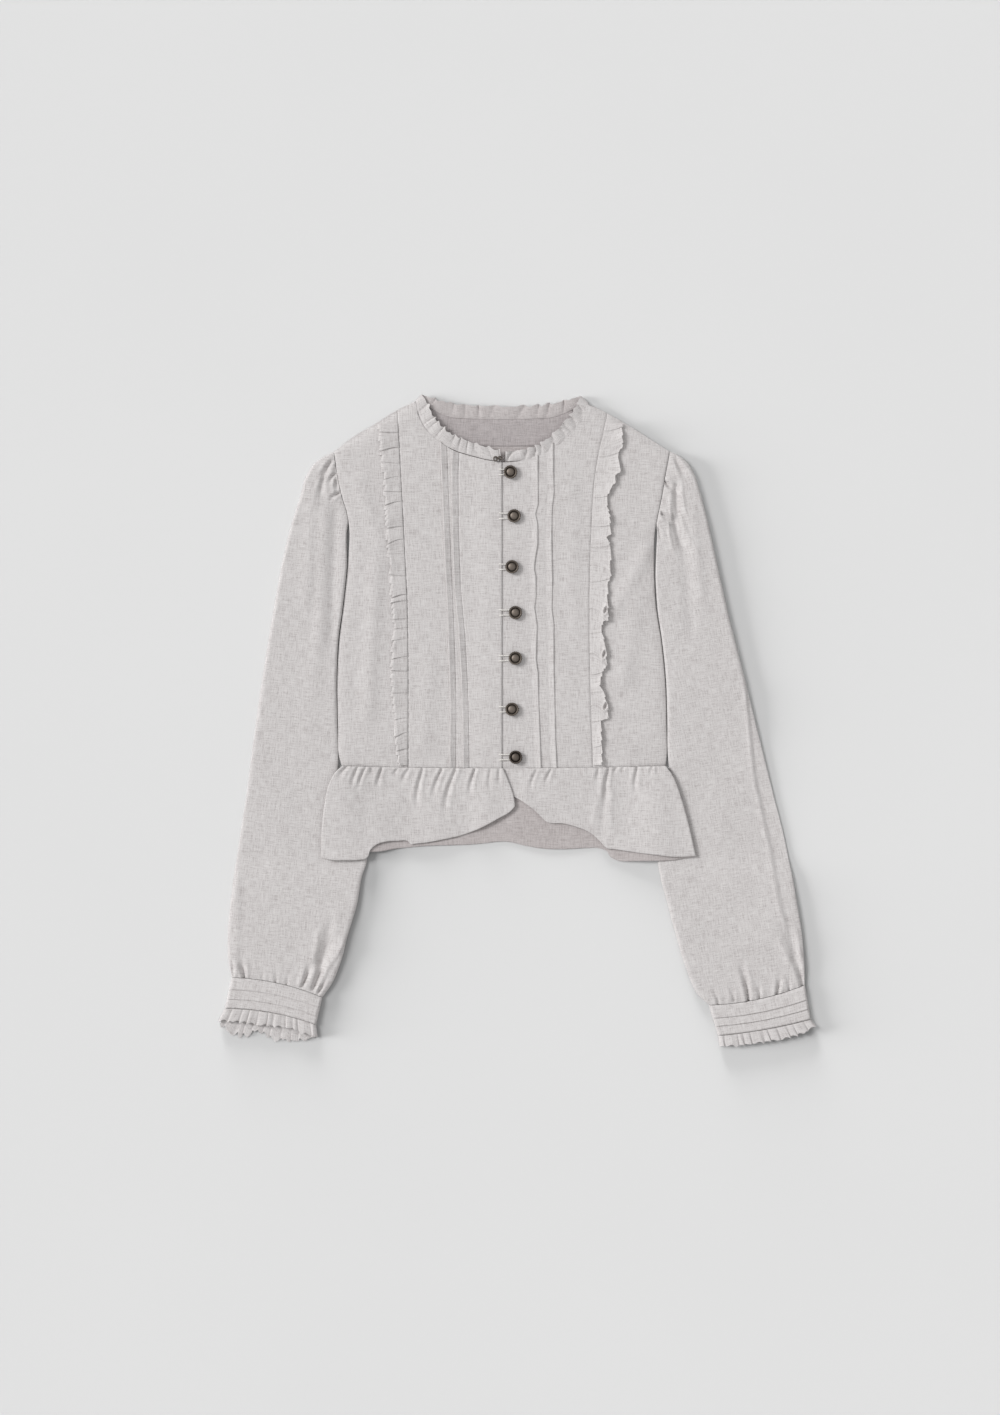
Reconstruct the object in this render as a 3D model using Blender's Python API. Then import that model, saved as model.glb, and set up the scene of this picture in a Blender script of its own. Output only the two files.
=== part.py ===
"""A ruffled shirt laid flat on a table, front up, built from the pieces that its maker cuts and sews.

+X points to the wearer's left, which is the viewer's right, +Y up towards the neck and +Z off the
table. Every table below is in millimetres, measured from the middle of the waist seam on the table.
"""

import math
from collections import namedtuple

import bmesh
import bpy
import numpy as np
from mathutils import Vector
from mathutils.bvhtree import BVHTree

MM = 0.001

# Cloth and seams
CLOTH = 1.2  # wall of one layer of the shirting
FRILL_CLOTH = 1.0  # wall of the narrow gathered strips
SEAM = 0.3  # space between two pieces that are sewn together
SIDE_GAP = 0.7  # space between the body's side and the sleeve beside it

# How high the front lies over the back
FRONT_LOFT = 2.2
SIDE_ROLL = 11.0  # width over which the front rolls down at its side
SHOULDER_ROLL = 15.0
WAIST_RISE = 30.0  # height over which the front rises from the waist seam
WAIST_SHARE = 0.5  # share of the loft that is left at the waist seam
OVERLAP = 12.0  # the left front runs this far under the right one
LIFT = CLOTH + SEAM  # so the right front lies this much higher there

# Tucks on each centre front, from its front edge: stitch line and fold edge
TUCKS = ((42.0, 49.0), (56.0, 63.0))
TUCK_RISE = 1.3
TUCK_STEP = 0.5  # width of the drop at the fold edge

# Sleeve tube
FOLD_REACH = 7.0  # how far the rounded fold reaches in from the sleeve's edge
SLEEVE_GATHERS = 7
CUFF_HEIGHT = 5.0
CUFF_REACH = 4.0  # how far the rounded fold reaches in from the cuff's edge
CUFF_STEP = 0.7  # each tuck of the cuff stands this much over the next

# Buttons, loops and the neck fastener
BUTTON_RADIUS = 7.2
SHANK_RADIUS = 2.0
SHANK_HEIGHT = 1.9
CORD = 1.2  # thickness of a button loop
LOOP_SPREAD = 3.0  # half the distance between a loop's two ends
LOOP_ROOT = -3.2  # where a loop is sewn to the right front
HOOK = (-4.4, 324.0)  # middle of the hook and eye
HOOK_WIRE = 0.45

Half = namedtuple("Half", "name sign front_edge princess side waist_x")
Ruffle = namedtuple("Ruffle", "seam_x seam_y seam_z free_x free_y free_z wave")
Section = namedtuple("Section", "outer_x outer_y inner_x inner_y height gather bow")

# Outlines, each from the waist upwards: x, y
RIGHT_SIDE = [
    (-165.0, 0.0), (-170.6, 12.0), (-172.2, 42.0), (-173.3, 82.0), (-171.2, 130.0), (-165.9, 174.0),
    (-161.5, 218.0), (-160.6, 255.0), (-163.8, 271.5), (-168.4, 286.0), (-172.2, 303.0), (-176.4, 331.5),
]  # fmt: skip
LEFT_SIDE = [
    (168.0, 1.0), (172.4, 12.0), (172.4, 45.0), (171.8, 80.0), (167.0, 134.0), (161.2, 172.0),
    (159.6, 208.0), (160.6, 250.0), (163.6, 266.0), (167.2, 283.0), (171.0, 306.0), (175.9, 332.0),
]  # fmt: skip
RIGHT_PRINCESS = [
    (-98.8, 0.0), (-98.7, 70.0), (-99.0, 134.0), (-99.8, 173.0), (-103.2, 244.0), (-106.8, 314.0), (-110.0, 375.5),
]  # fmt: skip
LEFT_PRINCESS = [
    (95.2, 0.0), (93.2, 56.0), (91.7, 117.0), (91.4, 173.0), (93.1, 244.0), (98.3, 314.0), (110.4, 372.2),
]  # fmt: skip
# The front's upper edge from one shoulder tip to the other, in three stretches
RIGHT_SHOULDER = [(-176.4, 331.5), (-156.0, 347.5), (-134.0, 360.5), (-110.0, 375.5), (-91.0, 385.0)]
FRONT_NECK = [
    (-91.0, 385.0), (-89.6, 374.0), (-86.8, 365.2), (-77.5, 351.1), (-63.4, 339.5), (-49.4, 332.4), (-30.6, 326.6),
    (-12.0, 322.2), (2.0, 320.8), (14.0, 321.2), (25.6, 322.8), (39.7, 326.8), (56.1, 334.9), (70.1, 346.5),
    (81.5, 358.4), (88.4, 371.4), (91.0, 382.0),
]  # fmt: skip
LEFT_SHOULDER = [(91.0, 382.0), (110.4, 372.2), (128.0, 362.3), (161.0, 341.5), (175.9, 332.0)]
BACK_NECK = [
    (-91.0, 384.4), (-75.0, 376.6), (-56.0, 368.2), (-30.0, 365.8), (0.0, 365.2), (30.0, 365.8), (56.0, 368.2),
    (75.0, 375.6), (91.0, 381.6),
]  # fmt: skip
FACING_EDGE = [(-72.0, 340.0), (-40.0, 338.0), (0.0, 337.4), (40.0, 338.0), (72.0, 340.0)]

RIGHT = Half("right", -1, 0.0, RIGHT_PRINCESS, RIGHT_SIDE, -165.0)
LEFT = Half("left", 1, -OVERLAP, LEFT_PRINCESS, LEFT_SIDE, 168.0)

# Heights of the rows of points up the body's side, closest where the armhole curves
SIDE_ROWS = (0.0, 14.0, 42.0, 82.0, 130.0, 174.0, 214.0, 236.0, 248.0, 258.0, 268.0, 280.0, 296.0, 314.0, 331.5)

# Soft creases of the body front, as low ridges: from x, y to x, y, half width, height
FRONT_CREASES = [
    (-132.0, 205.0, -141.0, 60.0, 10.0, 0.9),
    (-150.0, 300.0, -128.0, 235.0, 9.0, 0.6),
    (152.0, 226.0, 120.0, 168.0, 8.0, 0.9),
    (142.0, 178.0, 126.0, 92.0, 11.0, 0.7),
    (-76.0, 110.0, -82.0, 20.0, 9.0, 0.5),
    (72.0, 290.0, 76.0, 150.0, 9.0, 0.4),
]

# Frills: width at each height above the waist seam
RIGHT_FRILL = [(2.0, 10.0), (30.0, 13.0), (58.0, 15.0), (90.0, 18.0), (116.0, 18.0), (148.0, 14.5), (184.0, 16.5),
               (244.0, 18.0), (305.0, 18.0), (362.0, 21.5)]  # fmt: skip
LEFT_FRILL = [(2.0, 8.5), (46.0, 8.5), (66.0, 16.5), (96.0, 12.0), (130.0, 16.0), (160.0, 15.5), (192.0, 19.0),
              (214.0, 20.0), (257.0, 18.5), (290.0, 16.5), (315.0, 19.5), (362.0, 17.5)]  # fmt: skip
FRILL_WAVES = 18
FRILL_RISE = 3.0  # height of a wave at the frill's free edge
FRILL_SCALLOP = 1.1
SAMPLES = 4  # points along one wave

# Neck ruffle, from the right front's edge round the back to the left front's edge
NECK_RUFFLE = [
    Ruffle(-0.7, 321.8, 6.7, -1.5, 333.0, 7.3, 0.0),
    Ruffle(-12.2, 323.0, 6.2, -15.0, 336.6, 7.2, 1.0),
    Ruffle(-30.3, 327.4, 5.2, -29.0, 340.4, 6.5, 2.6),
    Ruffle(-48.9, 333.2, 5.0, -43.0, 346.2, 6.4, 4.2),
    Ruffle(-62.8, 340.4, 5.0, -53.5, 351.0, 6.4, 5.5),
    Ruffle(-76.8, 352.0, 4.9, -65.0, 361.4, 6.3, 7.0),
    Ruffle(-86.0, 365.8, 4.8, -73.0, 371.8, 6.1, 8.3),
    Ruffle(-89.0, 376.0, 4.6, -78.0, 382.5, 5.4, 9.3),
    Ruffle(-89.9, 382.8, 4.3, -82.0, 388.8, 4.7, 10.0),
    Ruffle(-90.4, 386.0, 2.7, -84.4, 391.8, 2.9, 10.5),
    Ruffle(-86.5, 384.6, 1.3, -81.5, 391.0, 1.3, 11.0),
    Ruffle(-75.0, 377.6, 0.9, -70.5, 387.6, 1.3, 12.0),
    Ruffle(-56.0, 369.0, 0.8, -56.0, 383.2, 1.3, 13.2),
    Ruffle(-30.0, 366.6, 0.8, -33.0, 380.8, 1.3, 14.7),
    Ruffle(0.0, 366.0, 0.8, -1.0, 379.6, 1.3, 16.3),
    Ruffle(30.0, 366.6, 0.8, 30.0, 380.2, 1.3, 17.9),
    Ruffle(56.0, 369.0, 0.8, 55.5, 383.2, 1.3, 19.3),
    Ruffle(75.0, 376.8, 0.9, 70.5, 387.0, 1.3, 20.5),
    Ruffle(86.5, 382.0, 1.3, 80.0, 389.6, 1.3, 21.5),
    Ruffle(90.6, 383.4, 2.7, 83.0, 390.2, 2.9, 22.0),
    Ruffle(90.2, 380.0, 4.3, 81.0, 387.0, 4.7, 22.5),
    Ruffle(88.6, 374.4, 4.6, 77.5, 380.6, 5.4, 23.2),
    Ruffle(85.6, 366.6, 4.8, 73.0, 372.0, 6.1, 24.2),
    Ruffle(80.6, 358.8, 4.9, 66.5, 364.6, 6.3, 25.2),
    Ruffle(69.3, 347.2, 5.0, 57.0, 354.0, 6.4, 26.6),
    Ruffle(55.5, 335.8, 5.0, 45.5, 344.0, 6.4, 28.0),
    Ruffle(39.3, 327.7, 5.0, 34.0, 337.4, 6.4, 29.4),
    Ruffle(25.4, 323.7, 5.0, 22.0, 333.6, 6.4, 30.6),
    Ruffle(12.0, 322.0, 5.0, 11.0, 332.6, 6.4, 31.6),
    Ruffle(3.4, 321.6, 5.0, 3.0, 332.0, 6.2, 32.5),
]
NECK_FRONT_WAVE = 1.15
NECK_BACK_WAVE = 0.5

# Peplums: outlines from the side seam towards the front edge
RIGHT_PEPLUM_HEM = [
    (-189.6, -93.5), (-181.0, -96.0), (-165.0, -96.6), (-150.5, -96.2), (-141.4, -94.1), (-137.7, -85.5),
    (-130.2, -79.6), (-121.6, -77.2), (-110.0, -76.4), (-98.0, -77.2), (-95.2, -80.2), (-91.6, -79.6),
    (-78.8, -78.1), (-64.8, -75.5), (-46.5, -71.7), (-27.3, -65.1), (-2.1, -52.0), (9.0, -45.4), (13.6, -40.0),
]  # fmt: skip
RIGHT_PEPLUM_SIDE = [
    (-189.6, -93.5), (-189.0, -65.0), (-186.2, -40.0), (-180.6, -17.0), (-174.0, -6.0), (-165.0, -0.6)
]  # fmt: skip
RIGHT_PEPLUM_FRONT = [(13.6, -40.0), (12.4, -31.0), (8.0, -17.6), (1.0, -1.5)]
LEFT_PEPLUM_HEM = [
    (15.1, -31.2), (19.5, -33.8), (34.3, -44.6), (41.7, -52.0), (46.8, -56.4), (65.3, -58.4), (80.0, -62.4),
    (93.2, -68.3), (102.2, -76.3), (111.0, -84.4), (118.3, -85.2), (137.4, -88.1), (161.0, -91.0), (183.1, -93.2),
    (203.0, -92.2),
]  # fmt: skip
LEFT_PEPLUM_FRONT = [(15.1, -31.2), (2.0, -24.4), (-7.0, -14.0), (-12.0, -1.5)]
LEFT_PEPLUM_SIDE = [(203.0, -92.4), (198.5, -72.0), (192.2, -47.3), (186.0, -27.3), (177.5, -8.0), (168.0, -0.2)]
BACK_HEM = [
    (-188.6, -92.6), (-165.0, -91.5), (-138.6, -88.1), (-127.0, -87.4), (-113.0, -84.9), (-100.2, -83.6),
    (-78.8, -81.7), (-57.3, -81.0), (-35.7, -80.4), (-17.9, -79.0), (-6.0, -77.5), (6.3, -77.4), (24.2, -81.5),
    (41.7, -84.4), (65.3, -85.2), (87.4, -84.1), (102.2, -84.3), (110.0, -87.4), (114.0, -93.5), (122.0, -97.2),
    (138.9, -97.7), (161.0, -97.4), (175.8, -96.9), (190.5, -94.7), (201.6, -92.8),
]  # fmt: skip
BACK_PEPLUM_RIGHT = [
    (-188.6, -92.6), (-188.0, -65.0), (-185.2, -40.0), (-179.6, -17.0), (-173.2, -6.4), (-164.4, -0.9)
]  # fmt: skip
BACK_PEPLUM_LEFT = [(201.6, -92.8), (197.5, -72.0), (191.2, -47.3), (185.0, -27.3), (176.6, -8.4), (167.4, -0.5)]
PEPLUM_GATHERS = 12
PEPLUM_LOFT = 1.0
GATHER_RISE = 1.7
OVER_SLEEVE = 5.6  # height that the peplums reach where they lie on a sleeve
SLEEVE_RAMP = 14.0

# Sleeves: sections from the armhole to the cuff; the armhole's own section follows the body's edge
RIGHT_SLEEVE = [
    Section(-176.9, 331.8, -160.0, 258.0, 4.6, 0.5, 0.0),
    Section(-185.5, 327.6, -161.6, 247.0, 5.2, 1.7, 0.0),
    Section(-197.0, 319.2, -162.2, 232.0, 5.8, 2.1, 0.0),
    Section(-205.6, 306.0, -163.0, 214.0, 6.2, 1.9, 0.0),
    Section(-211.0, 287.0, -165.2, 193.0, 6.3, 1.5, 0.0),
    Section(-216.9, 268.8, -168.2, 170.0, 6.3, 1.1, 0.0),
    Section(-226.8, 232.7, -172.2, 138.0, 6.3, 0.7, 0.0),
    Section(-237.7, 176.4, -174.6, 96.0, 6.3, 0.5, 0.0),
    Section(-250.4, 100.0, -174.2, 52.0, 5.8, 0.4, 0.0),
    Section(-261.6, 22.0, -174.6, 8.0, 4.9, 0.2, 0.0),
    Section(-269.0, -34.0, -174.4, -32.0, 4.4, 0.1, 0.0),
    Section(-274.0, -66.0, -158.0, -64.0, 4.4, 0.1, 0.0),
    Section(-278.6, -96.0, -141.8, -96.0, 4.5, 0.2, 0.0),
    Section(-281.4, -114.0, -147.0, -114.0, 5.0, 0.3, 0.0),
    Section(-284.8, -142.0, -152.4, -144.0, 5.8, 0.7, 0.0),
    Section(-287.6, -172.0, -162.6, -178.0, 6.2, 1.2, 1.0),
    Section(-287.5, -196.0, -170.0, -206.0, 6.0, 1.9, 2.5),
    Section(-285.8, -210.0, -179.0, -227.0, 5.6, 2.2, 4.0),
    Section(-283.5, -219.4, -188.4, -240.4, 5.0, 0.6, 4.5),
]
LEFT_SLEEVE = [
    Section(176.4, 332.3, 160.6, 256.0, 4.6, 0.5, 0.0),
    Section(184.5, 328.8, 161.4, 246.0, 5.2, 1.7, 0.0),
    Section(193.5, 322.0, 161.0, 231.0, 5.8, 2.1, 0.0),
    Section(200.4, 311.5, 160.6, 212.0, 6.2, 1.9, 0.0),
    Section(207.6, 290.0, 161.4, 190.0, 6.3, 1.5, 0.0),
    Section(213.0, 270.0, 163.8, 168.0, 6.3, 1.1, 0.0),
    Section(221.4, 234.0, 168.0, 138.0, 6.3, 0.7, 0.0),
    Section(236.0, 168.0, 172.4, 96.0, 6.3, 0.5, 0.0),
    Section(254.6, 94.0, 173.4, 52.0, 5.8, 0.4, 0.0),
    Section(274.4, 14.0, 174.4, 8.0, 4.9, 0.2, 0.0),
    Section(286.4, -34.0, 178.6, -32.0, 4.4, 0.1, 0.0),
    Section(294.6, -66.0, 170.0, -64.0, 4.4, 0.1, 0.0),
    Section(301.4, -98.0, 163.6, -98.0, 4.5, 0.2, 0.0),
    Section(304.8, -114.0, 166.4, -115.0, 5.0, 0.3, 0.0),
    Section(309.6, -142.0, 174.0, -144.0, 5.8, 0.7, 0.0),
    Section(314.4, -172.0, 183.0, -178.0, 6.2, 1.2, -1.0),
    Section(316.8, -198.0, 193.0, -210.0, 6.0, 1.9, -2.5),
    Section(317.6, -214.0, 204.0, -236.0, 5.6, 2.2, -4.0),
    Section(317.6, -227.2, 217.2, -248.4, 5.0, 0.6, -4.6),
]
# Long soft folds along a sleeve: share of its width, first and last share of its length, height
SLEEVE_FOLDS = [(0.24, 0.10, 0.62, 1.3), (0.66, 0.04, 0.40, 1.5), (0.74, 0.80, 1.0, 1.4), (0.16, 0.62, 1.0, 1.2)]

# Cuffs and their ruffles: top line and bottom line, then the ruffle's free edge on top and beneath
Cuff = namedtuple("Cuff", "name top_outer top_inner top_bow low_outer low_inner low_bow over under")
RIGHT_CUFF = Cuff(
    "right", (-283.6, -219.8), (-188.6, -240.9), 4.5, (-290.8, -252.0), (-195.0, -269.2), 4.2,
    [(-297.6, -264.8), (-278.0, -266.2), (-254.0, -269.6), (-236.0, -271.2), (-218.0, -274.0), (-206.0, -279.0),
     (-193.6, -281.6)],
    [(-297.6, -264.8), (-287.0, -277.4), (-272.0, -280.6), (-256.0, -276.6), (-238.0, -284.2), (-214.0, -285.4),
     (-193.6, -281.6)],
)  # fmt: skip
LEFT_CUFF = Cuff(
    "left", (317.8, -227.7), (217.0, -248.9), -4.6, (324.0, -263.4), (226.6, -280.6), -2.2,
    [(329.6, -270.0), (314.0, -278.6), (298.0, -283.6), (280.0, -286.8), (260.0, -289.6), (242.0, -291.4),
     (228.2, -291.6)],
    [(329.6, -270.0), (314.0, -277.2), (298.0, -282.4), (280.0, -285.4), (260.0, -288.4), (242.0, -290.2),
     (228.2, -291.6)],
)  # fmt: skip
CUFF_BANDS = 3
CUFF_WAVES = 11  # on each of a cuff ruffle's two layers
CUFF_WAVE = 1.5
CUFF_RUFFLE_HEIGHT = 5.2

# Buttons down the left front: x, y
BUTTONS = [(8.8, 310.4), (12.6, 264.4), (10.4, 211.0), (14.0, 163.0), (14.0, 115.2), (10.4, 61.6), (14.2, 11.4)]


class Curve:
    """A smooth line through the rows of a table, read by its share of length."""

    def __init__(self, rows):
        self.rows = np.array(rows, float)
        steps = np.linalg.norm(np.diff(self.rows[:, :2], axis=0), axis=1)
        self.along = np.concatenate([[0.0], np.cumsum(steps)]) / steps.sum()
        self.slopes = np.gradient(self.rows, self.along, axis=0)

    def at(self, share):
        share = np.clip(np.asarray(share, float), 0.0, 1.0)
        i = np.clip(np.searchsorted(self.along, share, side="right") - 1, 0, len(self.rows) - 2)
        span = (self.along[i + 1] - self.along[i])[..., None]
        t = (share - self.along[i])[..., None] / span
        start = (2 * t**3 - 3 * t**2 + 1) * self.rows[i] + (t**3 - 2 * t**2 + t) * span * self.slopes[i]
        end = (3 * t**2 - 2 * t**3) * self.rows[i + 1] + (t**3 - t**2) * span * self.slopes[i + 1]
        return start + end

    def value(self, given, known, wanted):
        """Column wanted where column known has the given value; known grows or falls all along."""
        line = self.at(np.linspace(0.0, 1.0, 400))
        order = np.argsort(line[:, known], kind="stable")
        return np.interp(given, line[order, known], line[order, wanted])


def smooth(share):
    """0 below 0, 1 above 1 and a soft step between."""
    t = np.clip(share, 0.0, 1.0)
    return t * t * (3.0 - 2.0 * t)


def quarter_round(share):
    """The height of a quarter circle over its base."""
    t = 1.0 - np.clip(share, 0.0, 1.0)
    return np.sqrt(1.0 - t * t)


def ridges(table, x, y):
    """Sum of the soft ridges of a table at the points x, y."""
    total = np.zeros(np.broadcast(x, y).shape)
    for x0, y0, x1, y1, half_width, height in table:
        length = math.hypot(x1 - x0, y1 - y0)
        along = np.clip(((x - x0) * (x1 - x0) + (y - y0) * (y1 - y0)) / length**2, -0.2, 1.2)
        away = np.hypot(x - x0 - along * (x1 - x0), y - y0 - along * (y1 - y0))
        total += height * np.exp(-((away / half_width) ** 2)) * smooth(5 * along + 1) * smooth(6 - 5 * along)
    return total


def patch(low, high, start, end, us, vs):
    """Plan points that fill four edges: low and high run along u, start and end along v, from low to high."""
    us, vs = np.asarray(us, float), np.asarray(vs, float)[:, None, None]
    low_points, high_points = low(us), high(us)
    start_points, end_points = start(vs[:, 0, 0])[:, None, :], end(vs[:, 0, 0])[:, None, :]
    u = us[None, :, None]
    between = (1 - vs) * low_points + vs * high_points + (1 - u) * start_points + u * end_points
    corners = (
        (1 - u) * (1 - vs) * low_points[0] + u * (1 - vs) * low_points[-1]
        + (1 - u) * vs * high_points[0] + u * vs * high_points[-1]
    )  # fmt: skip
    return between - corners


def cloth_material(name, colour, roughness):
    material = bpy.data.materials.new(name)
    material.use_nodes = True
    shader = material.node_tree.nodes["Principled BSDF"]
    shader.inputs["Base Color"].default_value = (*colour, 1.0)
    shader.inputs["Roughness"].default_value = roughness
    material.diffuse_color = (*colour, 1.0)
    return material


def metal_material(name, colour, roughness):
    material = cloth_material(name, colour, roughness)
    material.node_tree.nodes["Principled BSDF"].inputs["Metallic"].default_value = 1.0
    material.metallic = 1.0
    return material


def add_body(name, points, faces, material):
    """A closed mesh with its faces pointing out, from points in millimetres."""
    mesh = bpy.data.meshes.new(name)
    mesh.from_pydata((np.asarray(points) * MM).tolist(), [], [list(map(int, f)) for f in faces])
    work = bmesh.new()
    work.from_mesh(mesh)
    bmesh.ops.recalc_face_normals(work, faces=work.faces)
    work.to_mesh(mesh)
    work.free()
    mesh.materials.append(material)
    mesh.shade_smooth()
    mesh.set_sharp_from_angle(angle=math.radians(50))
    body = bpy.data.objects.new(name, mesh)
    bpy.context.scene.collection.objects.link(body)
    return body


def wall(name, under, over, material, ring=False):
    """A cloth wall between two grids of points; with ring, its last column joins the first."""
    rows, columns = under.shape[:2]
    lower = np.arange(rows * columns).reshape(rows, columns)
    upper = lower + rows * columns
    if ring:
        lower, upper = (np.hstack([grid, grid[:, :1]]) for grid in (lower, upper))
    faces = []
    for grid in (lower, upper):
        faces += zip(grid[:-1, :-1].flat, grid[:-1, 1:].flat, grid[1:, 1:].flat, grid[1:, :-1].flat)
    edges = [(lower[0], upper[0]), (lower[-1], upper[-1])]
    if not ring:
        edges += [(lower[:, 0], upper[:, 0]), (lower[:, -1], upper[:, -1])]
    for below, above in edges:
        faces += zip(below[:-1], below[1:], above[1:], above[:-1])
    return add_body(name, np.concatenate([under.reshape(-1, 3), over.reshape(-1, 3)]), faces, material)


def raised(plan, height):
    """Plan points with their heights."""
    return np.dstack([plan[..., :2], np.broadcast_to(height, plan.shape[:2])])


def both_sides(middle, thickness, ring=False):
    """The two faces of a sheet, half its thickness to each side of its middle."""
    along = np.gradient(middle, axis=1)
    if ring:
        along = np.roll(middle, -1, axis=1) - np.roll(middle, 1, axis=1)
    normal = np.cross(along, np.gradient(middle, axis=0))
    normal /= np.linalg.norm(normal, axis=2, keepdims=True)
    return middle - normal * thickness / 2, middle + normal * thickness / 2


def rim_faces(ring_a, ring_b, shares_a, shares_b):
    """Triangles between two closed rings of different counts, walked side by side."""
    faces, i, j = [], 0, 0
    while i < len(ring_a) or j < len(ring_b):
        next_a = shares_a[i + 1] if i < len(ring_a) else 2.0
        next_b = shares_b[j + 1] if j < len(ring_b) else 2.0
        a, b = ring_a[i % len(ring_a)], ring_b[j % len(ring_b)]
        if next_a <= next_b:
            i += 1
            faces.append((a, ring_a[i % len(ring_a)], b))
        else:
            j += 1
            faces.append((a, ring_b[j % len(ring_b)], b))
    return faces


def ring_shares(ring):
    steps = np.linalg.norm(np.roll(ring, -1, axis=0) - ring, axis=1)
    return np.concatenate([[0.0], np.cumsum(steps)]) / steps.sum()


def tube(name, outside, inside, material):
    """A hollow wall between two stacks of closed rings, open at both ends."""
    points, faces, stacks = [], [], []
    for rings in (outside, inside):
        start = sum(len(p) for p in points)
        index = np.arange(rings.shape[0] * rings.shape[1]).reshape(rings.shape[:2]) + start
        closed = np.hstack([index, index[:, :1]])
        faces += zip(closed[:-1, :-1].flat, closed[:-1, 1:].flat, closed[1:, 1:].flat, closed[1:, :-1].flat)
        points.append(rings.reshape(-1, 3))
        stacks.append(index)
    for end in (0, -1):
        shares = ring_shares(outside[end]), ring_shares(inside[end])
        faces += rim_faces(stacks[0][end], stacks[1][end], *shares)
    return add_body(name, np.concatenate(points), faces, material)


def height_on(bodies, x, y):
    """The top of the bodies under each point x, y, in millimetres; the table where there is none."""
    top = np.zeros(np.broadcast(x, y).shape)
    for body in bodies:
        mesh = body.data
        tree = BVHTree.FromPolygons([v.co for v in mesh.vertices], [tuple(p.vertices) for p in mesh.polygons])
        for i in np.ndindex(top.shape):
            place = tree.ray_cast(Vector((x[i] * MM, y[i] * MM, 1.0)), Vector((0, 0, -1)))[0]
            if place is not None:
                top[i] = max(top[i], place.z / MM)
    return top


# Curves that several pieces share
SHOULDERS = {-1: Curve(RIGHT_SHOULDER), 1: Curve(LEFT_SHOULDER)}
SIDES = {-1: Curve(RIGHT_SIDE), 1: Curve(LEFT_SIDE)}
NECKLINE = Curve(FRONT_NECK)


def side_x(sign, y):
    return SIDES[sign].value(y, 1, 0)


def front_under(x, y):
    """Height of the underside of the front, which lies loosely on the back."""
    sign_side = np.where(x < 0, x - side_x(-1, y), side_x(1, y) - x)
    shoulder = 332.0 + (176.0 - np.abs(x)) * 0.62 - y
    share = quarter_round(sign_side / SIDE_ROLL) * quarter_round(shoulder / SHOULDER_ROLL)
    share = share * (WAIST_SHARE + (1 - WAIST_SHARE) * smooth(y / WAIST_RISE))
    return CLOTH + SEAM + (FRONT_LOFT + ridges(FRONT_CREASES, x, y)) * share


def front_overlap(x):
    """Lift of the right front where it lies on the left one."""
    return LIFT * smooth((x + 2 * OVERLAP) / OVERLAP)


def upper_edge(half, xs):
    """The front's upper edge at the given x: neckline inside, shoulder outside."""
    neck_x = FRONT_NECK[0][0] if half.sign < 0 else FRONT_NECK[-1][0]
    neck = NECKLINE.value(xs, 0, 1)
    shoulder = SHOULDERS[half.sign].value(xs, 0, 1)
    return np.where(np.abs(xs) > abs(neck_x), shoulder, neck)


def tuck_rise(distance):
    """How far the tucks raise the cloth at a distance from the front edge."""
    rise = np.zeros_like(distance)
    for stitch, fold in TUCKS:
        inside = (distance >= stitch) & (distance <= fold)
        share = (distance - stitch) / (fold - stitch)
        rise = np.where(inside, TUCK_RISE * np.sqrt(np.clip(share, 0, 1)), rise)
    return rise


def centre_front(half, cloth):
    """The centre panel, from the front edge to the seam that holds the frill, with its two tucks."""
    princess = Curve(half.princess)
    low_width = abs(half.princess[0][0] - half.front_edge) - SEAM / 2
    distances = [0.0, 12.0, 24.0, 35.0]
    for stitch, fold in TUCKS:
        distances += [stitch, stitch + 1.5, fold, fold + TUCK_STEP]
    neck_x = abs(FRONT_NECK[0][0] - half.front_edge) if half.sign < 0 else FRONT_NECK[-1][0] - half.front_edge
    top_x = half.princess[-1][0] - half.sign * SEAM / 2
    stretch = abs(top_x - half.front_edge) / low_width  # the panel widens towards the shoulder
    neck_distance = neck_x / stretch
    distances += [neck_distance - gap for gap in (13.0, 7.5, 3.0, 1.0, 0.0)]
    distances += [(neck_distance + low_width) / 2, low_width]
    distances = np.array(distances)
    us = distances / low_width
    vs = np.linspace(0, 1, 14)

    def low(share):
        xs = half.front_edge + half.sign * share * low_width
        return np.column_stack([xs, np.full_like(xs, SEAM / 2) + 2.5 * (xs / 170.0) ** 2])

    def high(share):
        xs = half.front_edge + half.sign * share * low_width * stretch
        return np.column_stack([xs, upper_edge(half, xs)])

    def front_edge(share):
        top = high(np.array([0.0]))[0]
        return np.outer(1 - share, (half.front_edge, SEAM / 2)) + np.outer(share, top)

    def seam(share):
        ys = low(np.array([1.0]))[0, 1] * (1 - share) + share * high(np.array([1.0]))[0, 1]
        return np.column_stack([princess.value(ys, 1, 0) - half.sign * SEAM / 2, ys])

    plan = patch(low, high, front_edge, seam, us, vs)
    x, y = plan[..., 0], plan[..., 1]
    under = front_under(x, y) + (front_overlap(x) if half.sign < 0 else 0.0)
    over = under + CLOTH + tuck_rise(distances)[None, :] * (0.75 + 0.25 * np.sin(y / 17.0) ** 2)
    return wall(f"front_centre_{half.name}", raised(plan, under), raised(plan, over), cloth)


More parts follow.
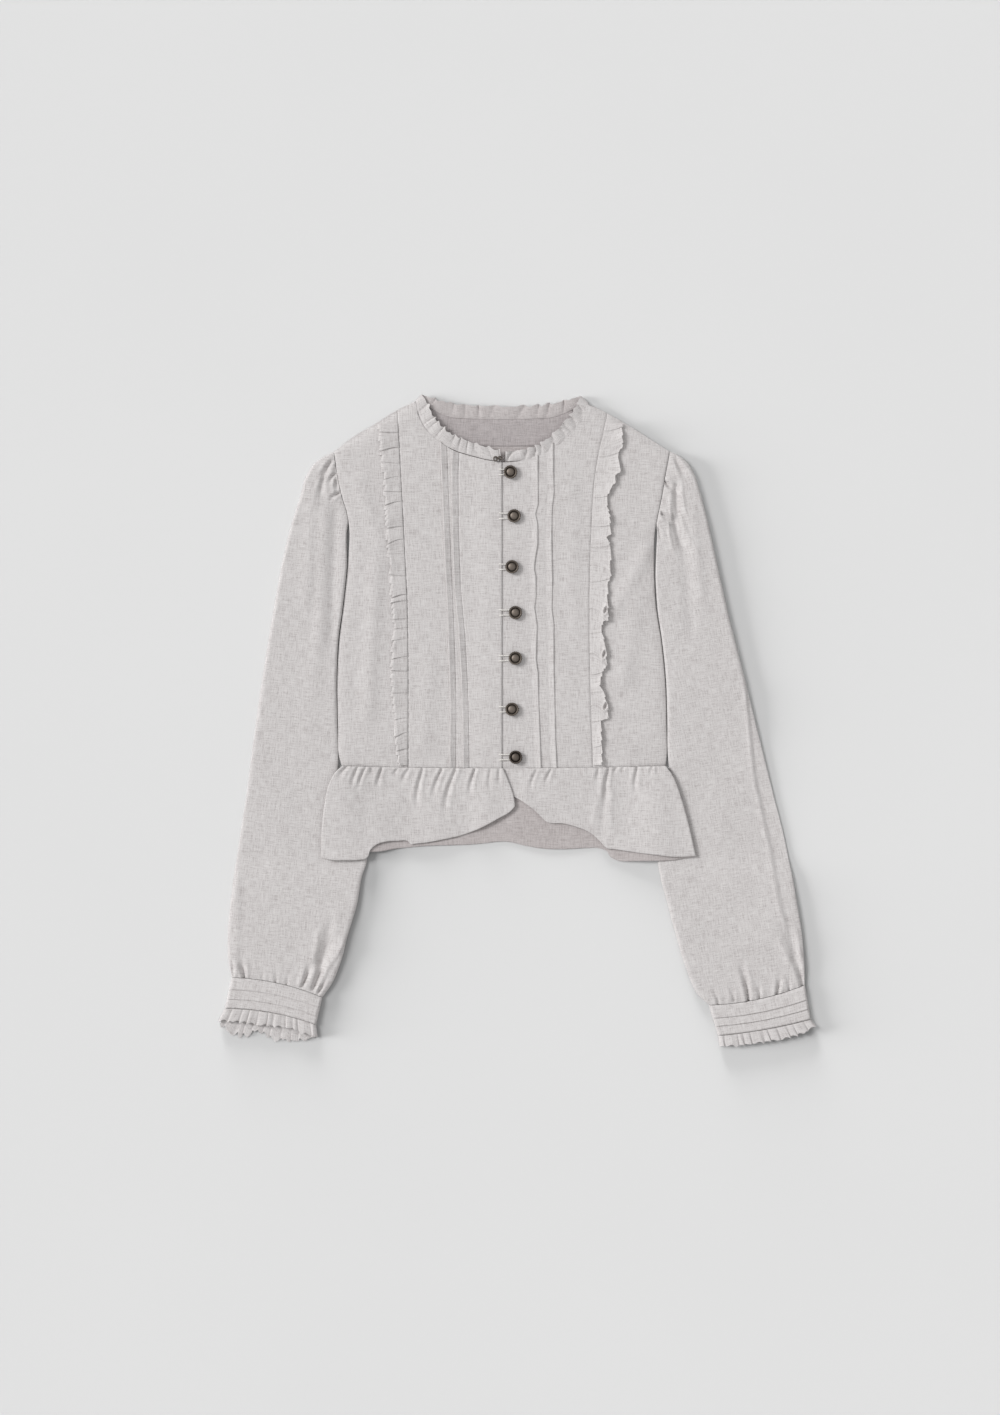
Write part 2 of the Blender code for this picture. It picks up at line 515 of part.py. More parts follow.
def side_front(half, cloth):
    """The side panel, from the frill's seam to the armhole and side seam."""
    princess = Curve(half.princess)
    shoulder = SHOULDERS[half.sign]
    us = np.array([0.0, 0.02, 0.06, 0.13, 0.25, 0.42, 0.62, 0.82, 1.0])
    vs = np.array(SIDE_ROWS) / SIDE_ROWS[-1]
    low_ends = np.array([half.side[0], half.princess[0]])
    low_ends[1, 0] += half.sign * SEAM / 2

    def low(share):
        line = np.outer(1 - share, low_ends[0]) + np.outer(share, low_ends[1])
        return np.column_stack([line[:, 0], SEAM / 2 + 2.5 * (line[:, 0] / 170.0) ** 2])

    def high(share):
        ends = half.side[-1][0], half.princess[-1][0] + half.sign * SEAM / 2
        xs = (1 - share) * ends[0] + share * ends[1]
        return np.column_stack([xs, shoulder.value(xs, 0, 1)])

    def outer(share):
        ends = low(np.array([0.0]))[0], high(np.array([0.0]))[0]
        ys = (1 - share) * ends[0][1] + share * ends[1][1]
        return np.column_stack([side_x(half.sign, ys), ys])

    def seam(share):
        ends = low(np.array([1.0]))[0], high(np.array([1.0]))[0]
        ys = (1 - share) * ends[0][1] + share * ends[1][1]
        return np.column_stack([princess.value(ys, 1, 0) + half.sign * SEAM / 2, ys])

    plan = patch(low, high, outer, seam, us, vs)
    under = front_under(plan[..., 0], plan[..., 1])
    return wall(f"front_side_{half.name}", raised(plan, under), raised(plan, under + CLOTH), cloth)


def back(cloth):
    """The back lies flat on the table, from the waist seam to the shoulders and the neck."""
    half_us = np.array([0, 0.12, 0.245, 0.255, 0.2975, 0.3525, 0.4225, 0.5])
    us = np.append(half_us, 1 - half_us[-2::-1])
    neck = Curve(BACK_NECK)

    def low(share):
        xs = RIGHT.waist_x * (1 - share) + LEFT.waist_x * share
        return np.column_stack([xs, SEAM / 2 + 2.5 * (xs / 170.0) ** 2])

    def high(share):
        right, left = SHOULDERS[-1].at(share / 0.25), SHOULDERS[1].at((share - 0.75) / 0.25)
        middle = neck.at((share - 0.25) / 0.5)
        column = share[:, None]
        return np.where(column < 0.25, right, np.where(column > 0.75, left, middle))

    def edge(sign):
        rows = np.array(RIGHT_SIDE if sign < 0 else LEFT_SIDE)
        return lambda share: np.column_stack(
            [side_x(sign, rows[0, 1] + 2.5 * (1 - share) + share * (rows[-1, 1] - rows[0, 1])),
             rows[0, 1] + 2.5 * (1 - share) + share * (rows[-1, 1] - rows[0, 1])]
        )  # fmt: skip

    plan = patch(low, high, edge(-1), edge(1), us, np.array(SIDE_ROWS) / SIDE_ROWS[-1])
    return wall("back", raised(plan, 0.0), raised(plan, CLOTH), cloth)


def neck_facing(cloth):
    """The facing that shows inside the neck, laid on the back."""
    us = np.linspace(0, 1, 9)
    top, edge = Curve(BACK_NECK), Curve(FACING_EDGE)

    def high(share):
        xs = 74.0 * (2 * share - 1)
        return np.column_stack([xs, top.value(xs, 0, 1)])

    def low(share):
        xs = 72.0 * (2 * share - 1)
        return np.column_stack([xs, edge.value(xs, 0, 1)])

    def straight(end):
        ends = low(np.array([end]))[0], high(np.array([end]))[0]
        return lambda share: np.outer(1 - share, ends[0]) + np.outer(share, ends[1])

    plan = patch(low, high, straight(0.0), straight(1.0), us, np.array([0.0, 0.5, 1.0]))
    base = CLOTH + SEAM
    return wall("neck_facing", raised(plan, base), raised(plan, base + FRILL_CLOTH), cloth)


def front_frill(half, widths, panel, cloth):
    """The gathered strip in the seam, lying on the side panel with waves along its free edge."""
    princess = Curve(half.princess)
    table = np.array(widths)
    waves = np.linspace(0, FRILL_WAVES, FRILL_WAVES * SAMPLES + 1)
    ys = table[0, 0] + (table[-1, 0] - table[0, 0]) * waves / FRILL_WAVES
    swing = 0.5 - 0.5 * np.cos(2 * math.pi * waves)
    lean = np.sin(2 * math.pi * waves)
    rows = []
    for across in (0.0, 0.5, 1.0):
        width = np.interp(ys, table[:, 0], table[:, 1]) + FRILL_SCALLOP * across * lean
        x = princess.value(ys, 1, 0) + half.sign * (2 * SEAM + across * width)
        y = ys - 1.6 * across * swing
        y = np.minimum(y, SHOULDERS[half.sign].value(x, 0, 1) - 1.0)
        rise = (0.3 + (FRILL_RISE - 0.3) * across) * swing
        rows.append(np.column_stack([x, y, height_on([panel], x, y) + SEAM + 0.1 + rise]))
    under = np.array(rows)
    over = under + np.array([0, 0, FRILL_CLOTH])
    return wall(f"frill_{half.name}", under, over, cloth)


def neck_ruffle(cloth):
    """The gathered strip round the neck, folded over at each shoulder like a flattened tube."""
    table = np.array(NECK_RUFFLE)
    route = Curve(table)
    waves = np.arange(0, table[-1, 6] + 1e-6, 1 / SAMPLES)
    line = route.at(np.interp(waves, table[:, 6], route.along))
    line[:, 6] = waves
    folds = [table[9, 6], table[19, 6]]
    calm = smooth((np.abs(waves[:, None] - np.array(folds)).min(axis=1) - 0.6) / 0.8)
    on_back = (waves > folds[0]) & (waves < folds[1])
    size = np.where(on_back, NECK_BACK_WAVE, NECK_FRONT_WAVE) * calm
    swing = size * np.cos(2 * math.pi * waves)
    seam, free = line[:, 0:3], line[:, 3:6]
    rows = []
    for across in (0.0, 1.0):
        points = seam + (free - seam) * across
        points[:, 2] += swing * (0.15 + 0.85 * across)
        points += (free - seam) * (0.05 * across * calm * np.sin(2 * math.pi * waves))[:, None]
        rows.append(points)
    return wall("neck_ruffle", *both_sides(np.array(rows), FRILL_CLOTH), cloth)


def over_sleeve(x, y):
    """How high a peplum has to lie over the sleeves that pass under it."""
    height = np.zeros_like(x)
    for table, sign in ((RIGHT_SLEEVE, -1), (LEFT_SLEEVE, 1)):
        rows = np.array(table)
        inner = np.interp(-y, -rows[:, 3], rows[:, 2])
        past = sign * (x - inner)
        height = np.maximum(height, OVER_SLEEVE * smooth((past + 3.0 + SLEEVE_RAMP) / SLEEVE_RAMP))
    return height


def gather_columns(count):
    """Shares of the seam with three columns for each gather: its groove and its ridge's two shoulders."""
    starts = np.arange(count)[:, None] + np.array([0.0, 0.3, 0.72])
    bend = 0.12 * np.sin(np.arange(count) * 2.4)[:, None]  # gathers are never quite even
    shares = np.append((starts + bend * np.array([1, 1, 1])).ravel(), count) / count
    shares[0] = 0.0
    return shares, np.append(np.tile([0.0, 1.0, 1.0], count), 0.0)


def peplum(name, low, high, start, end, gathers, base, cloth, plain_until=None):
    """A gathered skirt piece; v runs from the hem up to the waist seam."""
    us, ridge = gather_columns(gathers)
    vs = np.array([0.0, 0.22, 0.46, 0.68, 0.84, 0.94, 1.0])
    size = np.array([0.75, 0.7, 0.8, 1.0, 1.0, 0.85, 0.35]) * GATHER_RISE
    weight = 0.55 + 0.45 * np.sin(np.arange(len(us)) * 1.7) ** 2
    plan = patch(low, high, start, end, us, vs)
    x, y = plan[..., 0], plan[..., 1]
    flutes = 0.9 * (1 - vs[:, None]) * (0.5 - 0.5 * np.cos(us[None, :] * 2 * math.pi * 4))
    waves = size[:, None] * (ridge * weight)[None, :] + flutes
    if plain_until is not None:
        waves = waves * smooth((x - plain_until) / 12.0)
    under = base(x, y) + waves
    return wall(name, raised(plan, under), raised(plan, under + CLOTH), cloth)


def waist_line(first, last):
    def line(share):
        xs = first * (1 - share) + last * share
        return np.column_stack([xs, -SEAM / 2 + 2.5 * (xs / 170.0) ** 2])

    return line


def edge_between(rows, low_end, high_end):
    """An edge curve whose ends are moved to meet the edges that it joins."""
    curve = Curve(rows)

    def line(share):
        points = curve.at(share)
        shift_low, shift_high = low_end - points_at(curve, 0.0), high_end - points_at(curve, 1.0)
        return points + np.outer(1 - share, shift_low) + np.outer(share, shift_high)

    return line


def points_at(curve, share):
    return curve.at(np.array([share]))[0]


def make_peplums(cloth):
    """The back peplum on the table and the two front ones over it and over the sleeves."""
    def back_base(x, y):
        return over_sleeve(x, y)

    def front_base(x, y):
        return over_sleeve(x, y) + CLOTH + SEAM + PEPLUM_LOFT

    def right_base(x, y):
        return front_base(x, y) + front_overlap(x)

    made = []
    rows = (
        ("peplum_right", RIGHT_PEPLUM_HEM, RIGHT_PEPLUM_SIDE, RIGHT_PEPLUM_FRONT, right_base, PEPLUM_GATHERS, None),
        ("peplum_left", LEFT_PEPLUM_HEM, LEFT_PEPLUM_FRONT, LEFT_PEPLUM_SIDE, front_base, PEPLUM_GATHERS, 15.0),
    )
    for name, hem_rows, start_rows, end_rows, base, gathers, plain_until in rows:
        hem, waist = Curve(hem_rows), waist_line(start_rows[-1][0], end_rows[-1][0])
        ends = waist(np.array([0.0, 1.0]))
        start = edge_between(start_rows, points_at(hem, 0.0), ends[0])
        end = edge_between(end_rows, points_at(hem, 1.0), ends[1])
        made.append(peplum(name, hem.at, waist, start, end, gathers, base, cloth, plain_until))
    return made + [back_peplum(back_base, cloth)]


def back_peplum(base, cloth):
    """The back peplum lies flat on the table between the sleeves and climbs over them at its ends."""
    hem = Curve(BACK_HEM)
    waist = waist_line(BACK_PEPLUM_RIGHT[-1][0], BACK_PEPLUM_LEFT[-1][0])
    ends = waist(np.array([0.0, 1.0]))
    start = edge_between(BACK_PEPLUM_RIGHT, points_at(hem, 0.0), ends[0])
    end = edge_between(BACK_PEPLUM_LEFT, points_at(hem, 1.0), ends[1])
    us = np.concatenate([np.linspace(0, 0.18, 11), np.linspace(0.23, 0.74, 11), np.linspace(0.76, 1.0, 14)])
    plan = patch(hem.at, waist, start, end, us, np.array([0.0, 0.25, 0.5, 0.75, 0.9, 1.0]))
    under = base(plan[..., 0], plan[..., 1])
    return wall("peplum_back", raised(plan, under), raised(plan, under + CLOTH), cloth)


def section_ring(outer, inner, bow, offsets, top, reach, inset):
    """One closed ring of a flattened tube, from its outer fold over the top and back beneath.

    offsets are shares of the flat width between the two rounded folds, with a height each in top;
    inset is the wall's thickness on the tube's inner ring and 0 on its outer one.
    """
    run = inner - outer
    width = np.linalg.norm(run)
    direction = run / width
    side = np.array([-direction[1], direction[0]])
    if side[1] < 0:
        side = -side
    middle, half = (top.min() + inset) / 2, (top.min() - inset) / 2
    angles = np.radians([0, 32, 64])
    arc_across = inset + (reach - inset) * (1 - np.cos(angles))
    arc_height = middle + half * np.sin(angles)
    flat = reach + offsets * (width - 2 * reach)
    low_flat = reach + np.array([0.0, 0.33, 0.67, 1.0]) * (width - 2 * reach)
    low_arc = inset + (reach - inset) * (1 - math.cos(math.radians(45)))
    low_height = middle - half * math.sin(math.radians(45))
    across = np.concatenate(
        [arc_across, flat, width - arc_across[::-1], [width - low_arc], low_flat[::-1], [low_arc]]
    )
    height = np.concatenate([arc_height, top, arc_height[::-1], [low_height], np.full(4, inset), [low_height]])
    share = across / width
    plan = outer + np.outer(across, direction) + np.outer(4 * share * (1 - share) * bow, side)
    return np.column_stack([plan, height]), share


def sleeve(half, sections, cloth):
    """A full sleeve pressed flat: gathered into the armhole above and into the cuff below."""
    table = Curve(np.array(sections))
    shares, rows = table.along, table.rows
    starts = np.arange(SLEEVE_GATHERS)[:, None] + np.array([0.0, 0.3, 0.72])
    offsets = np.append(starts.ravel(), SLEEVE_GATHERS) / SLEEVE_GATHERS
    ridge = np.append(np.tile([0.0, 1.0, 1.0], SLEEVE_GATHERS), 0.0)
    plain = np.linspace(0, 1, 6)
    outside, inside = [], []
    armhole = SIDES[half.sign]
    steps = np.linspace(0, 1, 400)
    armpit = np.interp(rows[0, 3], armhole.at(steps)[:, 1], steps)
    for share, (outer_x, outer_y, inner_x, inner_y, height, gather, bow) in zip(shares, rows):
        outer, inner = np.array([outer_x, outer_y]), np.array([inner_x, inner_y])
        weight = 0.6 + 0.4 * np.sin(np.arange(len(offsets)) * 1.3 + 2 * (share > 0.5)) ** 2
        folds = sum(
            rise * np.exp(-(((offsets - place) / 0.07) ** 2))
            * smooth((share - first) / 0.12) * smooth((last - share) / 0.12)
            for place, first, last, rise in SLEEVE_FOLDS
        )  # fmt: skip
        top = height + gather * ridge * weight + folds * smooth((0.97 - share) / 0.1)
        low_top = np.full(len(plain), height - CLOTH)
        outside.append(section_ring(outer, inner, bow, offsets, top, FOLD_REACH, 0.0))
        inside.append(section_ring(outer, inner, bow, plain, low_top, FOLD_REACH, CLOTH))
    for rings in (outside, inside):
        along_edge = armhole.at(1.0 + (armpit - 1.0) * rings[0][1])
        along_edge[:, 0] += half.sign * SIDE_GAP
        shift = along_edge - rings[0][0][:, :2]
        for share, (ring, _) in zip(shares, rings):
            ring[:, :2] += shift * (1 - smooth(share / 0.1))
    return tube(
        f"sleeve_{half.name}", np.array([r for r, _ in outside]), np.array([r for r, _ in inside]), cloth
    )


def cuff(shape, cloth):
    """A flattened cuff with three bands that overlap downwards like shingles."""
    starts = np.arange(CUFF_BANDS) / CUFF_BANDS
    shares = np.column_stack([starts + 0.004, starts + 1 / CUFF_BANDS - 0.02]).ravel()
    shares[0], shares[-1] = 0.0, 1.0
    heights = np.array([CUFF_HEIGHT - CUFF_STEP * 0.3, CUFF_HEIGHT + CUFF_STEP] * CUFF_BANDS)
    offsets = np.linspace(0, 1, 9)
    ends = [np.array(p) for p in (shape.top_outer, shape.low_outer, shape.top_inner, shape.low_inner)]
    outside, inside = [], []
    for share, height in zip(shares, heights):
        outer, inner = ends[0] + share * (ends[1] - ends[0]), ends[2] + share * (ends[3] - ends[2])
        bow = shape.top_bow + share * (shape.low_bow - shape.top_bow)
        outside.append(section_ring(outer, inner, bow, offsets, np.full(9, height), CUFF_REACH, 0.0)[0])
        if share in (0.0, 1.0):
            top = np.full(4, CUFF_HEIGHT - CUFF_STEP * 0.3 - CLOTH)
            inside.append(section_ring(outer, inner, bow, np.linspace(0, 1, 4), top, CUFF_REACH, CLOTH)[0])
    return tube(f"cuff_{shape.name}", np.array(outside), np.array(inside), cloth)


def cuff_ruffle(shape, cloth):
    """The gathered strip on a cuff's end, a flattened ring with waves on both layers."""
    count = CUFF_WAVES * SAMPLES
    waves = np.arange(2 * count) / SAMPLES
    across = np.concatenate([np.arange(count), np.arange(count, 0, -1)]) / count
    on_top = np.arange(2 * count) < count
    outer, inner = np.array(shape.low_outer), np.array(shape.low_inner)
    down = (outer - np.array(shape.top_outer)) / np.linalg.norm(outer - np.array(shape.top_outer))
    width = np.linalg.norm(inner - outer)
    direction = (inner - outer) / width
    side = np.array([-direction[1], direction[0]])
    side = side if side[1] > 0 else -side
    edge_round = quarter_round(np.minimum(across, 1 - across) * width / 5.0)
    seam = outer + np.outer(across * width, direction) + np.outer(4 * across * (1 - across) * shape.low_bow, side)
    seam += 2 * SEAM * down
    over, beneath = Curve(shape.over).at(across), Curve(shape.under).at(across)
    free = np.where(on_top[:, None], over, beneath)
    middle = CUFF_RUFFLE_HEIGHT / 2
    swing = 0.5 - 0.5 * np.cos(2 * math.pi * waves)
    rows = []
    for reach in (0.0, 1.0):
        plan = seam + (free - seam) * reach
        rise = CUFF_WAVE * (0.25 + 0.75 * reach) * swing * edge_round
        top = middle + (CUFF_RUFFLE_HEIGHT / 2 - FRILL_CLOTH / 2) * edge_round + rise
        low = middle - (CUFF_RUFFLE_HEIGHT / 2 - FRILL_CLOTH / 2) * edge_round + 0.5 * rise
        rows.append(np.column_stack([plan, np.where(on_top, top, low)]))
    grid = np.array(rows)
    inside, outside = both_sides(grid, FRILL_CLOTH, ring=True)
    inside[..., 2], outside[..., 2] = np.maximum(inside[..., 2], 0.0), np.maximum(outside[..., 2], 0.0)
    return wall(f"cuff_ruffle_{shape.name}", inside, outside, cloth, ring=True)


def button(number, place, base, metal):
    """A domed shank button, turned about its own axis."""
    profile = [
        (0.0, 0.0), (SHANK_RADIUS, 0.0), (SHANK_RADIUS, SHANK_HEIGHT), (BUTTON_RADIUS - 0.8, SHANK_HEIGHT + 0.1),
        (BUTTON_RADIUS, SHANK_HEIGHT + 1.0), (BUTTON_RADIUS - 1.0, SHANK_HEIGHT + 2.3),
        (BUTTON_RADIUS - 2.2, SHANK_HEIGHT + 1.9), (BUTTON_RADIUS - 4.2, SHANK_HEIGHT + 3.2), (0.0, SHANK_HEIGHT + 3.7),
    ]  # fmt: skip
    work = bmesh.new()
    line = [work.verts.new((r * MM, 0, z * MM)) for r, z in profile]
    edges = [work.edges.new(pair) for pair in zip(line, line[1:])]
    bmesh.ops.spin(
        work, geom=line + edges, cent=(0, 0, 0), axis=(0, 0, 1), angle=math.tau, steps=12, use_duplicate=False
    )
    bmesh.ops.remove_doubles(work, verts=work.verts, dist=1e-6)
    bmesh.ops.recalc_face_normals(work, faces=work.faces)
    mesh = bpy.data.meshes.new(f"button_{number}")
    work.to_mesh(mesh)
    work.free()
    mesh.materials.append(metal)
    mesh.shade_smooth()
    mesh.set_sharp_from_angle(angle=math.radians(50))
    body = bpy.data.objects.new(f"button_{number}", mesh)
    body.location = (place[0] * MM, place[1] * MM, base * MM)
    bpy.context.scene.collection.objects.link(body)
    return body


def round_bar(name, line, thickness, sides, material):
    """A thin round bar that follows a line of points."""
    line = np.array(line, float)
    ahead = np.gradient(line, axis=0)
    ahead /= np.linalg.norm(ahead, axis=1, keepdims=True)
    across = np.cross(ahead, (0, 0, 1.0))
    across /= np.linalg.norm(across, axis=1, keepdims=True)
    above = np.cross(across, ahead)
    turns = np.arange(sides) * math.tau / sides
    rings = np.array([
        point + thickness / 2 * (np.outer(np.cos(turns), a) + np.outer(np.sin(turns), b))
        for point, a, b in zip(line, across, above)
    ])  # fmt: skip
    index = np.arange(rings.shape[0] * sides).reshape(-1, sides)
    closed = np.hstack([index, index[:, :1]])
    faces = list(zip(closed[:-1, :-1].flat, closed[:-1, 1:].flat, closed[1:, 1:].flat, closed[1:, :-1].flat))
    return add_body(name, rings.reshape(-1, 3), faces + [index[0], index[-1]], material)


def button_loop(number, place, low, high, thread):
    """A cord loop from the right front's edge round the button's shank, under its head."""
    x, y = place
    lay = CORD / 2 + SEAM
    turn = SHANK_RADIUS + SEAM + CORD / 2
    arms = [(LOOP_ROOT, LOOP_SPREAD, high + lay), (-0.4, LOOP_SPREAD, high + lay), (1.8, LOOP_SPREAD, low + lay + 0.5)]
    bend = [(x + turn * math.cos(a), turn * math.sin(a), low + lay) for a in np.radians([100, 60, 20])]
    half = arms + bend
    line = [(px, y + py, pz) for px, py, pz in half] + [(px, y - py, pz) for px, py, pz in reversed(half)]
    return round_bar(f"button_loop_{number}", line, CORD, 5, thread)


def wire_ring(name, centre, radius, wire, metal):
    """A small closed ring of wire that lies flat."""
    work = bmesh.new()
    turns = np.arange(12) * math.tau / 12
    grid = [
        [
            work.verts.new((
                (centre[0] + (radius + wire * math.cos(s)) * math.cos(t)) * MM,
                (centre[1] + (radius + wire * math.cos(s)) * math.sin(t)) * MM,
                (centre[2] + wire * math.sin(s)) * MM,
            ))
            for s in np.arange(5) * math.tau / 5
        ]
        for t in turns
    ]  # fmt: skip
    for i, j in np.ndindex(12, 5):
        work.faces.new((grid[i][j], grid[(i + 1) % 12][j], grid[(i + 1) % 12][(j + 1) % 5], grid[i][(j + 1) % 5]))
    bmesh.ops.recalc_face_normals(work, faces=work.faces)
    mesh = bpy.data.meshes.new(name)
    work.to_mesh(mesh)
    work.free()
    mesh.materials.append(metal)
    mesh.shade_smooth()
    body = bpy.data.objects.new(name, mesh)
    bpy.context.scene.collection.objects.link(body)
    return body


def centre_on_origin():
    """Moves every piece so that the middle of the shirt's underside is the origin."""
    bpy.context.view_layer.update()
    corners = np.array([tuple(o.matrix_world @ Vector(c)) for o in bpy.data.objects for c in o.bound_box])
    middle = (corners.min(axis=0) + corners.max(axis=0)) / 2
    for body in bpy.data.objects:
        body.location.x -= middle[0]
        body.location.y -= middle[1]


def build():
    for old in list(bpy.data.objects):
        bpy.data.objects.remove(old, do_unlink=True)
    cloth = cloth_material("heather_shirting", (0.62, 0.58, 0.565), 0.9)
    inner_cloth = cloth_material("facing_cloth", (0.58, 0.54, 0.53), 0.9)
    metal = metal_material("antique_brass", (0.10, 0.085, 0.07), 0.45)
    thread = cloth_material("loop_thread", (0.8, 0.78, 0.75), 0.8)

    back(cloth)
    neck_facing(inner_cloth)
    centres, sides = {}, {}
    for half in (RIGHT, LEFT):
        centres[half.name] = centre_front(half, cloth)
        sides[half.name] = side_front(half, cloth)
    front_frill(RIGHT, RIGHT_FRILL, sides["right"], cloth)
    front_frill(LEFT, LEFT_FRILL, sides["left"], cloth)
    ruffle = neck_ruffle(cloth)
    make_peplums(cloth)
    for half, sections, shape in ((RIGHT, RIGHT_SLEEVE, RIGHT_CUFF), (LEFT, LEFT_SLEEVE, LEFT_CUFF)):
        sleeve(half, sections, cloth)
        cuff(shape, cloth)
        cuff_ruffle(shape, cloth)
    for number, place in enumerate(BUTTONS, start=1):
        xs, ys = np.array([place[0], -1.5]), np.array([place[1], place[1]])
        low = height_on([centres["left"]], xs[:1], ys[:1])[0]
        high = height_on([centres["right"]], xs[1:], ys[1:])[0]
        button(number, place, low + SEAM, metal)
        button_loop(number, place, low, high, thread)
    around = HOOK[0] + 3 * np.cos(np.arange(12)), HOOK[1] + 3 * np.sin(np.arange(12))
    top = height_on([centres["right"], ruffle], *around).max()
    wire_ring("neck_hook", (HOOK[0] - 2.3, HOOK[1], top + SEAM + HOOK_WIRE), 1.9, HOOK_WIRE, metal)
    wire_ring("neck_eye", (HOOK[0] + 2.3, HOOK[1] + 0.6, top + SEAM + HOOK_WIRE), 1.6, HOOK_WIRE, metal)
    centre_on_origin()


build()
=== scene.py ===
"""Dresses a ruffled shirt that lies flat on a table, front up.

Every table is in millimetres from the middle of the waist seam on the table, +X to the wearer's left, +Y to
the neck and +Z up. Each cut piece is a thin shell that stands for the CAD node of the same place.
"""

import logging
import math
from collections.abc import Callable, Sequence
from dataclasses import dataclass, field
from enum import Enum
from typing import NamedTuple

import bpy
import numpy as np
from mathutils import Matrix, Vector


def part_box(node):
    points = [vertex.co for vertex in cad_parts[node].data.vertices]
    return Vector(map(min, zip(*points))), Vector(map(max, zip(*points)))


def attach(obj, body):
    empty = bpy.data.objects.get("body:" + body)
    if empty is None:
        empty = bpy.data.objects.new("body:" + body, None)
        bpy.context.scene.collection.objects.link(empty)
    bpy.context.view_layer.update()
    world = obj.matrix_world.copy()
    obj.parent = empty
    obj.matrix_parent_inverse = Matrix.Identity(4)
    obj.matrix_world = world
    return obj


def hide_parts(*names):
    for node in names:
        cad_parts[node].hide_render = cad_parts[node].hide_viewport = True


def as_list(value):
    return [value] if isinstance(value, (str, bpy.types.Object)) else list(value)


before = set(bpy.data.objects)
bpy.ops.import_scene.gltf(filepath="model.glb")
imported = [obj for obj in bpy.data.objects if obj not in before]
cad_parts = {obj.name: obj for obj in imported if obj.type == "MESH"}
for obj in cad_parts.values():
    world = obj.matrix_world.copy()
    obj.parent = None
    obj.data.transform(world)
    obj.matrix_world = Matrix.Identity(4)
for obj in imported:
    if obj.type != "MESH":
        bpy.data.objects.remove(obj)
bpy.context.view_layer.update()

LOG = logging.getLogger("ruffled_shirt")

MM = 0.001
WAIST_MIDDLE = np.array([-15.965, -50.226, 0.0])  # the waist seam's middle in the shared frame

Row = tuple[float, ...]
Line = Callable[[np.ndarray], np.ndarray]

# Cloth as the CAD holds it
CLOTH = 1.2  # its wall
SEAM = 0.3  # the gap between neighbouring pieces
FRONT_LOFT = 2.2  # how far the front lies off the back
SIDE_ROLL = 11.0  # how far in from the side the front is rounded
SHOULDER_ROLL = 15.0
WAIST_RISE = 30.0  # over which the loft grows from the waist up
WAIST_SHARE = 0.5  # the share of the loft that is there at the waist
ARMHOLE_SHARE = 0.62  # the share of it that the armhole's seam holds up
OVERLAP = 12.0  # how far the left front reaches under the right one
LIFT = 1.5  # how much higher the right front lies there
PEPLUM_LOFT = 1.0
OVER_SLEEVE = 3.9  # how high a peplum climbs where it lies on a sleeve
SLEEVE_RAMP = 52.0  # over which it climbs
SLEEVE_MARGIN = 3.0  # how far outside the sleeve's edge it is at its full height already
WAIST_BOW = 2.5  # how much higher the waist seam is at the sides
WAIST_HALF = 170.0
CRISP = math.radians(70)  # folds sharper than this stay sharp

# Outlines, each from the waist upwards: x, y
RIGHT_SIDE = [
    (-167.5, 0.0), (-171.0, 12.0), (-172.2, 42.0), (-173.3, 82.0), (-171.2, 130.0), (-165.9, 174.0),
    (-161.5, 218.0), (-160.6, 255.0), (-163.8, 271.5), (-168.4, 286.0), (-172.2, 303.0), (-176.4, 331.5),
]  # fmt: skip
LEFT_SIDE = [
    (171.5, 1.0), (172.8, 12.0), (172.6, 45.0), (171.8, 80.0), (167.0, 134.0), (161.2, 172.0),
    (159.6, 208.0), (160.6, 250.0), (163.6, 266.0), (167.2, 283.0), (171.0, 306.0), (175.9, 332.0),
]  # fmt: skip
RIGHT_PRINCESS = [
    (-98.8, 0.0), (-98.7, 70.0), (-99.0, 134.0), (-99.8, 173.0), (-103.2, 244.0), (-106.8, 314.0), (-110.0, 375.5),
]  # fmt: skip
LEFT_PRINCESS = [
    (95.2, 0.0), (93.2, 56.0), (91.7, 117.0), (91.4, 173.0), (93.1, 244.0), (98.3, 314.0), (110.4, 372.2),
]  # fmt: skip
RIGHT_SHOULDER = [(-176.4, 331.5), (-156.0, 347.5), (-134.0, 360.5), (-110.0, 375.5), (-91.0, 385.0)]
LEFT_SHOULDER = [(91.0, 382.0), (110.4, 372.2), (128.0, 362.3), (161.0, 341.5), (175.9, 332.0)]
FRONT_NECK = [
    (-91.0, 385.0), (-89.6, 374.0), (-86.8, 365.2), (-77.5, 351.1), (-63.4, 339.5), (-49.4, 332.4), (-30.6, 326.6),
    (-12.0, 322.2), (2.0, 320.8), (14.0, 321.2), (25.6, 322.8), (39.7, 326.8), (56.1, 334.9), (70.1, 346.5),
    (81.5, 358.4), (88.4, 371.4), (91.0, 382.0),
]  # fmt: skip
BACK_NECK = [
    (-91.0, 384.4), (-75.0, 376.6), (-56.0, 368.2), (-30.0, 365.8), (0.0, 365.2), (30.0, 365.8), (56.0, 368.2),
    (75.0, 375.6), (91.0, 381.6),
]  # fmt: skip
FACING_EDGE = [(-72.0, 340.0), (-40.0, 338.0), (0.0, 337.4), (40.0, 338.0), (72.0, 340.0)]

# Soft shades of the laid front, as low ridges: from x, y to x, y, half width, height
FRONT_RIDGES = [
    (-132.0, 205.0, -141.0, 60.0, 9.0, 1.7), (-150.0, 300.0, -128.0, 235.0, 9.0, 1.2),
    (152.0, 226.0, 120.0, 168.0, 8.0, 1.6), (142.0, 178.0, 126.0, 92.0, 10.0, 1.3),
    (-76.0, 110.0, -82.0, 20.0, 9.0, 0.8), (72.0, 290.0, 76.0, 150.0, 9.0, 0.7),
]  # fmt: skip

